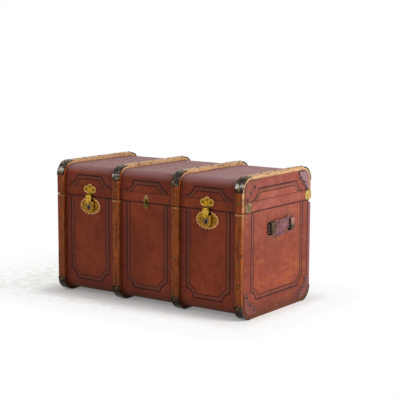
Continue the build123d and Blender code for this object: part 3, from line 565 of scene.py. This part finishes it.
def pressed_brass():
    """Lock plates: a painted highlight along the raised rim, with old dirt inside it."""
    fin = Finish("pressed_brass")
    from_rim = fin.carried("rim")
    patchy = fin.noise(120.0, 6.0, 0.68)
    colour = fin.mix(fin.step(patchy, 0.36, 0.64), paint(176, 126, 40), paint(114, 76, 24))
    # Painted highlight along the raised rim
    colour = fin.mix(fin.near(from_rim, 0.0020, 0.0018), colour, paint(222, 168, 112))
    dirt = fin.step(fin.add(from_rim, fin.times(patchy, 0.006)), 0.0066, 0.0088)
    spotty = fin.step(fin.noise(170.0, 5.0, 0.7), 0.46, 0.6, 0.15, 0.75)
    colour = fin.mix(fin.times(dirt, spotty), colour, paint(104, 74, 26))
    colour = fin.coat(colour, fin.near(from_rim, 0.0046, 0.0013), 0.8, paint(50, 32, 14))
    return fin.metal(colour, patchy, 0.22, 0.46, 140.0, 0.0005)


def clover_brass():
    """Clover plates: a painted highlight on the pressed rim round the leaves, a dark line inside it, darker
    round the nails.
    """
    fin = Finish("clover_brass")
    aside = fin.size(fin.minus(fin.size(fin.x), LOCK_X))
    leaves, offsets = [], []
    for sideways, rise, radius in CLOVER_LEAVES:
        off = fin.span(fin.minus(aside, sideways), fin.minus(fin.z, SEAM + rise))
        offsets.append(off)
        leaves.append(fin.minus(off, radius))
    outside = fin.least(fin.least(leaves[0], leaves[1]), leaves[2])
    patchy = fin.noise(120.0, 6.0, 0.68)
    colour = fin.mix(fin.step(patchy, 0.36, 0.64), paint(200, 154, 42), paint(138, 96, 24))
    # Painted highlight on the pressed rim
    colour = fin.mix(fin.near(outside, -0.0016, 0.0018), colour, paint(222, 180, 110))
    colour = fin.coat(colour, fin.near(outside, -0.0046, 0.0020), 0.85, paint(52, 32, 12))
    stain = fin.step(fin.noise(150.0, 5.0, 0.7), 0.54, 0.66)
    colour = fin.coat(colour, stain, 0.6, paint(84, 56, 20))
    # Darker round the nails
    round_nails = fin.step(fin.least(offsets[0], offsets[1]), 0.0030, 0.0052, 0.9, 0.0)
    colour = fin.mix(round_nails, colour, paint(44, 24, 12))
    # Painted shade: a dark band across the plate where the hasp's tongue hangs from it
    colour = fin.coat(colour, fin.near(fin.z, SEAM + 0.010, 0.0065), 0.8, paint(48, 28, 14))
    bead = fin.minus(fin.near(outside, -0.0017, 0.0015), fin.near(outside, -0.0042, 0.0014))
    return fin.metal(colour, patchy, 0.22, 0.46, 140.0, 0.0005, fin.relief(bead, 0.0007))


def dowel_brass():
    """Dowel: olive brass, reddish at its foot, with a painted highlight on its ring and painted shade in
    the recesses in it and below it.
    """
    fin = Finish("dowel_brass")
    patchy = fin.noise(160.0, 5.0, 0.68)
    colour = fin.mix(fin.step(patchy, 0.38, 0.62), paint(146, 118, 62), paint(84, 62, 32))
    from_ring = fin.span(fin.x, fin.minus(fin.z, DOWEL_RING_Z))
    ring = fin.near(from_ring, DOWEL_RING, 0.0022)
    colour = fin.mix(fin.step(fin.z, 0.3780, 0.3840, 0.6, 0.0), colour, paint(108, 46, 28))
    # Painted highlight on the ring
    colour = fin.mix(ring, colour, paint(186, 146, 112))
    # Painted shade in the hole within the ring
    colour = fin.mix(fin.step(from_ring, 0.0022, 0.0034, 0.9, 0.0), colour, paint(30, 20, 12))
    # Painted shade down the slot below the ring
    groove_shade = fin.times(fin.step(fin.size(fin.x), 0.0030, 0.0046, 1.0, 0.0),
                       fin.step(fin.z, 0.4140, 0.4165, 1.0, 0.0))
    groove_shade = fin.times(groove_shade, fin.step(fin.z, 0.3840, 0.3870))
    colour = fin.coat(colour, groove_shade, 0.75, paint(26, 20, 12))
    return fin.metal(colour, patchy, 0.24, 0.5, 140.0, 0.0005, fin.relief(fin.minus(ring, groove_shade), 0.0008))


def bracket_metal():
    """Handle brackets: dirty plates in the covering's colour with painted shade in the slots beside the
    bridges, and bridges rubbed to dark olive steel, with a painted highlight on the upper half of the back
    bridges.
    """
    fin = Finish("bracket_steel")
    proud = fin.step(fin.size(fin.x), HALF_WIDTH + 0.0016, HALF_WIDTH + 0.0034)
    patchy = fin.noise(110.0, 6.0, 0.68)
    plate = fin.mix(fin.step(patchy, 0.34, 0.60), paint(146, 72, 50), paint(108, 50, 36))
    from_bridge = fin.size(fin.minus(fin.size(fin.minus(fin.y, HANDLE_Y)), BRIDGE_OFFSET))
    within = fin.step(fin.size(fin.minus(fin.z, HANDLE_Z)), 0.024, 0.028, 1.0, 0.0)
    upper = fin.step(fin.z, HANDLE_Z - 0.006, HANDLE_Z + 0.006, 0.0, 0.8)
    bridge_highlight = fin.times(fin.step(fin.y, 0.05, 0.06), upper)
    # Painted shade in the dark slots beside each bridge
    slot_shade = fin.times(fin.step(from_bridge, 0.016, 0.021, 0.9, 0.0), within)
    plate = fin.mix(slot_shade, plate, paint(34, 16, 12))
    steel = fin.mix(fin.step(patchy, 0.38, 0.62), paint(112, 92, 66), paint(44, 32, 22))
    # Painted highlight: pale pinkish grey on the upper half of the bridges nearer the back
    steel = fin.mix(bridge_highlight, steel, paint(176, 132, 116))
    colour = fin.mix(proud, plate, steel)
    chips = fin.step(fin.noise(180.0, 5.0, 0.7), 0.60, 0.68)
    colour = fin.coat(colour, chips, 0.5, paint(40, 26, 18))
    fin.feed(fin.shader.inputs["Metallic"], proud)
    normal = fin.relief(fin.noise(120.0, 4.0, 0.6), 0.0007)
    return fin.finish(colour, fin.step(patchy, 0.3, 0.7, 0.34, 0.58), normal, Specular_IOR_Level=0.35)


def rim_plate_metal():
    """Plates on the band: dull khaki at the front, yellow brass at the back."""
    fin = Finish("rim_plate_metal")
    patchy = fin.noise(110.0, 6.0, 0.68)
    khaki = fin.mix(fin.step(patchy, 0.36, 0.62), paint(172, 144, 104), paint(108, 84, 58))
    brass = fin.mix(fin.step(patchy, 0.36, 0.62), paint(232, 206, 116), paint(176, 140, 62))
    colour = fin.mix(fin.step(fin.y, -0.02, 0.02), khaki, brass)
    stain = fin.step(fin.noise(160.0, 5.0, 0.7), 0.52, 0.64)
    colour = fin.coat(colour, stain, 0.6, paint(64, 40, 28))
    return fin.metal(colour, patchy, 0.3, 0.55, 120.0, 0.0006)


finishes = {
    "cover": fibre_cover("fibre_cover", True),
    "band": fibre_cover("fibre_band", False),
    "slat": slat_wood(),
    "cap": cap_metal(),
    "nail": old_metal("slat_nail", [(124, 92, 58), (70, 46, 30), (36, 22, 16)], 0.26, 0.5, 0.7, 240.0),
    "rivet": lacquer("black_rivet", paint(24, 10, 8), paint(62, 26, 18)),
    "brass": old_metal("brass", [(216, 180, 70), (140, 102, 30), (74, 48, 18)], 0.20, 0.40, 0.8, 140.0),
    "small_nail": old_metal("small_nail", [(60, 40, 24), (32, 20, 13), (22, 14, 10)],
                            0.28, 0.5, 0.6, 300.0),
    "dowel": dowel_brass(),
    "lock": lock_metal(),
    "steel": old_metal("dark_steel", [(98, 96, 84), (60, 56, 48), (34, 22, 16)], 0.3, 0.55, 0.7, 120.0),
    "bracket": bracket_metal(),
    "lip": plain_wood("lip_wood", paint(190, 150, 104), paint(158, 116, 74)),
    "paper": lining_paper(),
    "patch": patch_leather(),
    "strap": strap_leather(),
    "pressed": pressed_brass(),
    "clover": clover_brass(),
    "rim_plate": rim_plate_metal(),
}

# Every CAD node by its finish, where SIDE stands for left and for right
LOOKS = {
    "cover": "body_shell body_end_SIDE lid_shell lid_end_SIDE",
    "band": "lid_band",
    "slat": "body_slat_1 body_slat_2 body_slat_3 body_slat_4 lid_slat_1 lid_slat_2 lid_slat_3 lid_slat_4",
    "cap": "body_slat_caps lid_slat_caps",
    "nail": "body_slat_nails lid_slat_nails",
    "small_nail": "body_small_nails lid_small_nails",
    "rivet": "body_patch_rivets lid_patch_rivets",
    "patch": "body_patches_SIDE lid_patches_SIDE",
    "pressed": "lock_plate_SIDE",
    "clover": "hasp_plate_SIDE",
    "brass": "hasp_SIDE stay_lower_SIDE stay_upper_SIDE stay_body_rivets stay_lid_studs",
    "rim_plate": "lid_rim_plates",
    "dowel": "dowel_lid_half dowel_body_half",
    "lock": "lock_case_SIDE",
    "steel": "lock_bolt_SIDE hasp_pins hinge_pins hinge_body_leaves hinge_lid_leaves",
    "bracket": "handle_brackets_SIDE",
    "paper": "body_lining lid_lining",
    "lip": "body_lip",
    "strap": "handle_strap_SIDE",
}
dressed = set()
for look, names in LOOKS.items():
    for name in (pattern.replace("SIDE", side) for pattern in names.split() for side in ("left", "right")):
        node = nodes[name]
        for holder in node.material_slots:
            holder.material = finishes[look]
        if not node.material_slots:
            node.data.materials.append(finishes[look])
        dressed.add(name)
assert dressed == set(nodes), set(nodes) - dressed


def smooth(value, low, high):
    """Smooth rise from 0 to 1 while the value goes from low to high."""
    share = min(max((value - low) / (high - low), 0.0), 1.0)
    return share * share * (3.0 - 2.0 * share)


# Tolerances of the sheets, in metres, the least square of an edge's length, and the least distance of an
# inner point from the rim, in pitches
SAME_POINT = 1e-6
SAME_PLANE = 1e-5
SAME_SPOT = 1e-7
LEAST_SQUARE = 1e-12
RIM_CLEARANCE = 0.45


def rims(node, axis, side):
    """Rims of the outer faces of a flat CAD node, as closed lists of points in the other two axes."""
    mesh = bmesh.new()
    mesh.from_mesh(node.data)
    bmesh.ops.remove_doubles(mesh, verts=mesh.verts, dist=SAME_POINT)
    plane = max(side * vert.co[axis] for vert in mesh.verts) - SAME_PLANE
    outer = {face for face in mesh.faces if all(side * vert.co[axis] > plane for vert in face.verts)}
    nexts = {}
    for edge in mesh.edges:
        if sum(face in outer for face in edge.link_faces) == 1:
            for one, other in (edge.verts, reversed(edge.verts)):
                nexts.setdefault(one.index, []).append(other.index)
    mesh.verts.ensure_lookup_table()
    flat = [i for i in range(3) if i != axis]
    loops, used = [], set()
    for start in sorted(nexts):
        if start in used:
            continue
        loop, at = [], start
        while at is not None:
            used.add(at)
            loop.append(tuple(mesh.verts[at].co[i] for i in flat))
            at = next((other for other in nexts[at] if other not in used), None)
        loops.append(loop)
    mesh.free()
    return loops


def rim_distance(point, loop):
    """Distance from a point to a closed outline."""
    nearest = math.inf
    px, py = point
    for (ax, ay), (bx, by) in zip(loop, loop[1:] + loop[:1]):
        dx, dy = bx - ax, by - ay
        share = ((px - ax) * dx + (py - ay) * dy) / max(dx * dx + dy * dy, LEAST_SQUARE)
        share = min(max(share, 0.0), 1.0)
        nearest = min(nearest, math.hypot(px - ax - share * dx, py - ay - share * dy))
    return nearest


def inside(point, loop):
    """True where the point lies within a closed outline."""
    px, py = point
    found = False
    for (ax, ay), (bx, by) in zip(loop, loop[1:] + loop[:1]):
        if (ay > py) != (by > py) and px < (bx - ax) * (py - ay) / (by - ay) + ax:
            found = not found
    return found


def make_piece(name, points, faces, rim_values, look, body, stands_for):
    """Shaded mesh that carries a rim distance, rides on a body and stands for a CAD node."""
    mesh = bpy.data.meshes.new(name)
    mesh.from_pydata(points, [], faces)
    checked = bmesh.new()
    checked.from_mesh(mesh)
    bmesh.ops.recalc_face_normals(checked, faces=checked.faces)
    checked.to_mesh(mesh)
    checked.free()
    carried = mesh.attributes.new("rim", "FLOAT", "POINT")
    carried.data.foreach_set("value", rim_values)
    mesh.polygons.foreach_set("use_smooth", [True] * len(mesh.polygons))
    mesh.materials.append(finishes[look])
    piece = bpy.data.objects.new(name, mesh)
    bpy.context.scene.collection.objects.link(piece)
    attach(piece, body)
    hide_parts(stands_for)
    return piece


def pressed_sheet(name, stands_for, axis, side, base, pitch, height, look, body):
    """Sheet on a flat CAD node's outline whose outer face rises from the base as a function says."""
    points, faces, rim_values = [], [], []
    for loop in rims(nodes[stands_for], axis, side):
        lows = [min(p[i] for p in loop) for i in (0, 1)]
        highs = [max(p[i] for p in loop) for i in (0, 1)]
        counts = [int((high - low) / pitch) for low, high in zip(lows, highs)]
        spots = list(loop)
        for i in range(1, counts[0] + 1):
            for j in range(1, counts[1] + 1):
                spot = (lows[0] + i * pitch - pitch / 2 * (j % 2), lows[1] + j * pitch)
                if inside(spot, loop) and rim_distance(spot, loop) > RIM_CLEARANCE * pitch:
                    spots.append(spot)
        ring = [(i, (i + 1) % len(loop)) for i in range(len(loop))]
        flat, _, triangles, *_ = delaunay_2d_cdt([Vector(spot) for spot in spots], ring, [], 1, SAME_SPOT)
        first = len(points)
        for raised in (True, False):
            for spot in flat:
                gap = rim_distance(spot, loop)
                rise = height(spot[0], spot[1], gap) if raised else 0.0
                point = [spot[0], spot[1]]
                point.insert(axis, base + side * rise)
                points.append(point)
                rim_values.append(gap)
        count = len(flat)
        uses = {}
        for triangle in triangles:
            faces.append([first + i for i in triangle])
            faces.append([first + count + i for i in reversed(triangle)])
            for pair in zip(triangle, (*triangle[1:], triangle[0])):
                uses.setdefault(frozenset(pair), []).append(pair)
        for pairs in uses.values():
            if len(pairs) == 1:
                a, b = pairs[0]
                faces.append([first + b, first + a, first + count + a, first + count + b])
    return make_piece(name, points, faces, rim_values, look, body, stands_for)


# Leather corner patches: soft rims, dents, and a firm seat round each rivet, whose place is given from
# the corner of the end face, sideways and then up or down
PATCH_SHEET = 0.002
PATCH_PITCH = 0.0022
PATCH_SWELL = 0.0007
PATCH_DENTS = 0.0009
PATCH_SEAT = 0.0003
PATCH_SOFT_RIM = 0.0026
RIVET_RADIUS = 0.006
RIVET_HOLD = 0.012
PATCH_RIVETS = {"lid": [(0.064, 0.027), (0.037, 0.047), (0.019, 0.071)],
                "body": [(0.066, 0.021), (0.040, 0.042), (0.019, 0.073)]}


def patch_height(part):
    """Height of a patch over the end face at a place (Y, Z), knowing its distance from the rim."""
    corner_z = HEIGHT - SLAT_THICKNESS if part == "lid" else SLAT_THICKNESS

    def height(y, z, gap):
        u, v = PANEL_Y - abs(y), abs(corner_z - z)
        rivet = min(math.hypot(u - a, v - b) for a, b in PATCH_RIVETS[part])
        loose = smooth(rivet, RIVET_RADIUS, RIVET_HOLD)
        swell = PATCH_SWELL + PATCH_DENTS * fractal(Vector((y * 60.0, z * 60.0, 3.0)), 0.6, 2.0, 3)
        seat = PATCH_SHEET - PATCH_SEAT * (1.0 - loose)
        return (seat + loose * swell) * (0.30 + 0.70 * smooth(gap, 0.0, PATCH_SOFT_RIM))
    return height


for part, body in (("body", "trunk_body"), ("lid", "lid")):
    for name, end in (("left", -1), ("right", 1)):
        piece = pressed_sheet(f"{part}_patch_leather_{name}", f"{part}_patches_{name}", 0, end,
                              end * HALF_WIDTH, PATCH_PITCH, patch_height(part), "patch", body)


# Pressed lock plates: raised rim, then a channel and a slightly domed, beaten field, which is flat
# under the lock case, where the hasp's staple comes close to the plate
PLATE_SHEET = 0.0012
PLATE_PITCH = 0.0016
PLATE_BEAD = 0.0011
PLATE_DOME = 0.0010
PLATE_DENTS = 0.0005
BEAD_FROM_RIM = 0.0022
BEAD_HALF = 0.0011
FLAT_HALF = 0.0170
FLAT_BOTTOM = 0.3500
FLAT_TOP = 0.3820


def plate_height(x, z, gap):
    """Height of a lock plate over the front at a place (X, Z), knowing its distance from the rim."""
    bead = PLATE_BEAD * math.exp(-((gap - BEAD_FROM_RIM) / BEAD_HALF) ** 2)
    dome = PLATE_DOME * smooth(gap, 0.0060, 0.0160)
    beaten = PLATE_DENTS * fractal(Vector((x * 150.0, z * 150.0, 7.0)), 0.6, 2.0, 2)
    relief = bead + dome + beaten * smooth(gap, 0.004, 0.007)
    beside = smooth(abs(abs(x) - LOCK_X), FLAT_HALF, FLAT_HALF + 0.0050)
    above = smooth(z, FLAT_TOP, FLAT_TOP + 0.0030)
    below = 1.0 - smooth(z, FLAT_BOTTOM - 0.0050, FLAT_BOTTOM)
    return PLATE_SHEET * (0.45 + 0.55 * smooth(gap, 0.0, 0.0012)) + relief * max(beside, above, below)


for name in ("left", "right"):
    piece = pressed_sheet(f"pressed_plate_{name}", f"lock_plate_{name}", 1, -1, -PANEL_Y, PLATE_PITCH,
                          plate_height, "pressed", "trunk_body")


# Handle straps: outline (Y from the handle's middle, lowest Z, highest Z), bowed out and cupped between
# the brackets, and thicker at both ends, where they stop behind the bridges. Both edges run smoothly from
# point to point where the lower one moves by more than STRAP_STEEP, and else straight.
STRAP_OUTLINE = [(-0.092, -0.0175, 0.0175), (-0.0585, -0.0185, 0.0185), (-0.0535, -0.031, 0.024),
                 (-0.049, -0.0350, 0.0285), (-0.030, -0.0340, 0.0295), (-0.012, -0.0300, 0.0300),
                 (0.015, -0.0170, 0.0325), (0.036, -0.0040, 0.0350), (0.050, -0.0010, 0.0350),
                 (0.0535, -0.0030, 0.0290), (0.0580, -0.0150, 0.0185), (0.092, -0.0175, 0.0175)]
STRAP_IN = 0.0017
STRAP_SHEET = 0.004
STRAP_CROWN = 0.013
STRAP_FLAT = 0.055
STRAP_TAIL = 0.092
STRAP_STOP = 0.085
STRAP_STOP_RISE = 0.0036
STRAP_ROUND = 0.0022
STRAP_CUP = 0.0016
STRAP_CREASE = 0.0007
STRAP_STEEP = 0.008
STRAP_RINGS = 150
STRAP_ACROSS = 18


def along_outline(y):
    """Lowest and highest Z of the strap at a place along it."""
    for (a, low_a, high_a), (b, low_b, high_b) in zip(STRAP_OUTLINE, STRAP_OUTLINE[1:]):
        if y <= b:
            share = smooth(y, a, b) if abs(low_b - low_a) > STRAP_STEEP else (y - a) / (b - a)
            return low_a + share * (low_b - low_a), high_a + share * (high_b - high_a)
    return STRAP_OUTLINE[-1][1:]


def strap(name, end):
    """Worn strap in rings of points, each from its lower edge up the outside and down the inside."""
    points, faces, rim_values = [], [], []
    for i in range(STRAP_RINGS):
        y = -STRAP_TAIL + 2 * STRAP_TAIL * i / (STRAP_RINGS - 1)
        low, high = along_outline(y)
        bow = STRAP_CROWN * max(1.0 - (y / STRAP_FLAT) ** 2, 0.0)
        sheet = STRAP_SHEET + STRAP_STOP_RISE * smooth(abs(y), STRAP_STOP - 0.0010, STRAP_STOP + 0.0005)
        sheet *= 0.35 + 0.65 * smooth(STRAP_TAIL - abs(y), -0.0002, 0.0018)
        slack = smooth(STRAP_FLAT - abs(y), 0.0, 0.010)
        low += slack * 0.0012 * fractal(Vector((y * 90.0, 1.0, end)), 0.6, 2.0, 3)
        high += slack * 0.0010 * fractal(Vector((y * 90.0, 5.0, end)), 0.6, 2.0, 3)
        outside, inner = [], []
        for j in range(STRAP_ACROSS):
            share = 0.5 - 0.5 * math.cos(math.pi * j / (STRAP_ACROSS - 1))
            z = low + (high - low) * share
            edge = min(share, 1.0 - share) * (high - low)
            rounding = math.sqrt(1.0 - (1.0 - min(edge / STRAP_ROUND, 1.0)) ** 2)
            half = (0.30 + 0.70 * rounding) * sheet / 2
            cup = slack * STRAP_CUP * (1.0 - (2.0 * share - 1.0) ** 2)
            crease = slack * STRAP_CREASE * fractal(Vector((y * 160.0, z * 30.0, 9.0 + end)), 0.6, 2.0, 3)
            middle = STRAP_IN + sheet / 2 + bow + cup + crease
            outside.append((middle + half, z, z - low))
            inner.append((middle - half, z, z - low))
        for x, z, rim in outside + inner[::-1]:
            points.append((end * (HALF_WIDTH + x), HANDLE_Y + y, HANDLE_Z + z))
            rim_values.append(rim)
    size = 2 * STRAP_ACROSS
    for i in range(STRAP_RINGS - 1):
        for j in range(size):
            k = (j + 1) % size
            faces.append([i * size + j, i * size + k, (i + 1) * size + k, (i + 1) * size + j])
    for first in (0, (STRAP_RINGS - 1) * size):
        for j in range(STRAP_ACROSS - 1):
            faces.append([first + j, first + j + 1, first + size - 2 - j, first + size - 1 - j])
    piece = make_piece(f"strap_leather_{name}", points, faces, rim_values, "strap",
                       f"handle_strap_{name}", f"handle_strap_{name}")


strap("left", -1)
strap("right", 1)


# Camera at the photograph's viewing angle: degrees, millimetres and metres
AZIMUTH, ELEVATION, ROLL = (math.radians(angle) for angle in (35.63, 8.46, 0.22))
LENS = 102.41
SENSOR = 36.0
CAMERA_PLACE = (2.68655, -3.62656, 1.05722)
FARTHEST = 100.0


def place_camera():
    """Camera at its place, turned by the three angles."""
    level = math.cos(ELEVATION)
    back = Vector((math.sin(AZIMUTH) * level, -math.cos(AZIMUTH) * level, math.sin(ELEVATION)))
    right = (-back).cross(Vector((0, 0, 1))).normalized()
    up = right.cross(-back)
    right, up = (math.cos(ROLL) * right + math.sin(ROLL) * up,
                 math.cos(ROLL) * up - math.sin(ROLL) * right)
    camera = bpy.data.objects.new("camera", bpy.data.cameras.new("camera"))
    camera.data.sensor_width = SENSOR
    camera.data.lens = LENS
    camera.data.clip_end = FARTHEST
    camera.matrix_world = Matrix.Translation(CAMERA_PLACE) @ Matrix((right, up, back)).transposed().to_4x4()
    bpy.context.scene.collection.objects.link(camera)
    bpy.context.scene.camera = camera


place_camera()


def area_light(name, place, aim, size, power):
    """White round lamp that shines at a point."""
    lamp = bpy.data.lights.new(name, "AREA")
    lamp.shape = "DISK"
    lamp.size = size
    lamp.energy = power
    holder = bpy.data.objects.new(name, lamp)
    holder.location = place
    holder.rotation_mode = "QUATERNION"
    holder.rotation_quaternion = (Vector(aim) - Vector(place)).to_track_quat("-Z", "Y")
    bpy.context.scene.collection.objects.link(holder)


area_light("key", (4.2, 0.4, 2.6), (0.2, 0.0, 0.25), 2.4, 200.0)
area_light("fill", (-1.5, -4.0, 3.0), (0.0, 0.0, 0.2), 2.5, 40.0)

# How bright the white surroundings light the trunk, where the camera sees them at 1
WORLD_LEVEL = 0.32


def showing_rays(tree):
    """One on the rays that show the surroundings: those of the camera, of mirrors and of glass."""
    path = tree.nodes.new("ShaderNodeLightPath")
    found = path.outputs["Is Camera Ray"]
    for kind in ("Is Glossy Ray", "Is Transmission Ray"):
        made = tree.nodes.new("ShaderNodeMath")
        made.operation = "MAXIMUM"
        tree.links.new(found, made.inputs[0])
        tree.links.new(path.outputs[kind], made.inputs[1])
        found = made.outputs[0]
    return found


def white_world():
    """White surroundings, dimmer for the rays that only light the trunk."""
    world = bpy.data.worlds.new("studio")
    bpy.context.scene.world = world
    world.use_nodes = True
    tree = world.node_tree
    tree.nodes.clear()
    surround = tree.nodes.new("ShaderNodeBackground")
    surround.inputs["Color"].default_value = (1.0, 1.0, 1.0, 1.0)
    level = tree.nodes.new("ShaderNodeMapRange")
    level.inputs["To Min"].default_value = WORLD_LEVEL
    level.inputs["To Max"].default_value = 1.0
    output = tree.nodes.new("ShaderNodeOutputWorld")
    tree.links.new(showing_rays(tree), level.inputs[0])
    tree.links.new(level.outputs[0], surround.inputs["Strength"])
    tree.links.new(surround.outputs[0], output.inputs[0])


white_world()


def floor_finish():
    """Near white floor that keeps the trunk's shadow, has a painted mottled shadow close to it, mostly to
    its left, and fades to the white round it.
    """
    fin = Finish("floor")
    mottled = fin.noise(3.0, 6.0, 0.6)
    colour = fin.mix(fin.step(mottled, 0.35, 0.65), paint(244, 242, 239), paint(250, 249, 247))
    fin.finish(colour, 0.8, fin.relief(fin.noise(60.0, 4.0), 0.0006), Specular_IOR_Level=0.2)
    past_left = fin.most(fin.minus(-HALF_WIDTH, fin.x), 0.0)
    past_right = fin.most(fin.minus(fin.x, HALF_WIDTH), 0.0)
    past_y = fin.most(fin.minus(fin.size(fin.y), HALF_DEPTH), 0.0)
    away = fin.span(fin.add(past_left, fin.times(past_right, 1.6)), past_y)
    reach = fin.span(fin.add(fin.times(past_left, 0.34), past_right), past_y)
    # Painted shadow with mottling: a darker, speckled patch close to the trunk, reaching farthest to its
    # left
    ragged = fin.add(reach, fin.times(fin.noise(7.0, 5.0, 0.7), 0.22))
    spotty = fin.step(fin.noise(24.0, 8.0, 0.85), 0.40, 0.60)
    worn = fin.times(fin.step(ragged, 0.16, 0.36, 1.0, 0.0), spotty)
    worn = fin.times(worn, fin.step(fin.x, -0.5, 0.5, 0.75, 0.2))
    glow = fin.node("ShaderNodeEmission")
    fin.feed(glow.inputs["Color"], fin.mix(worn, paint(255, 255, 255), paint(222, 218, 206)))
    far = fin.most(fin.step(away, 0.0, 0.14, 0.22, 0.9), fin.step(away, 0.1, 0.3))
    joined = fin.node("ShaderNodeMixShader")
    fin.feed(joined.inputs[0], fin.times(far, showing_rays(fin.tree)))
    fin.feed(joined.inputs[1], fin.shader.outputs[0])
    fin.feed(joined.inputs[2], glow.outputs[0])
    fin.feed(fin.output.inputs["Surface"], joined.outputs[0])
    return fin.material


FLOOR_SIZE = 60.0
bpy.ops.mesh.primitive_plane_add(size=FLOOR_SIZE, location=(0, 0, 0))
floor = bpy.context.object
floor.name = "floor"
floor.data.materials.append(floor_finish())

bpy.context.scene.view_settings.view_transform = "Standard"
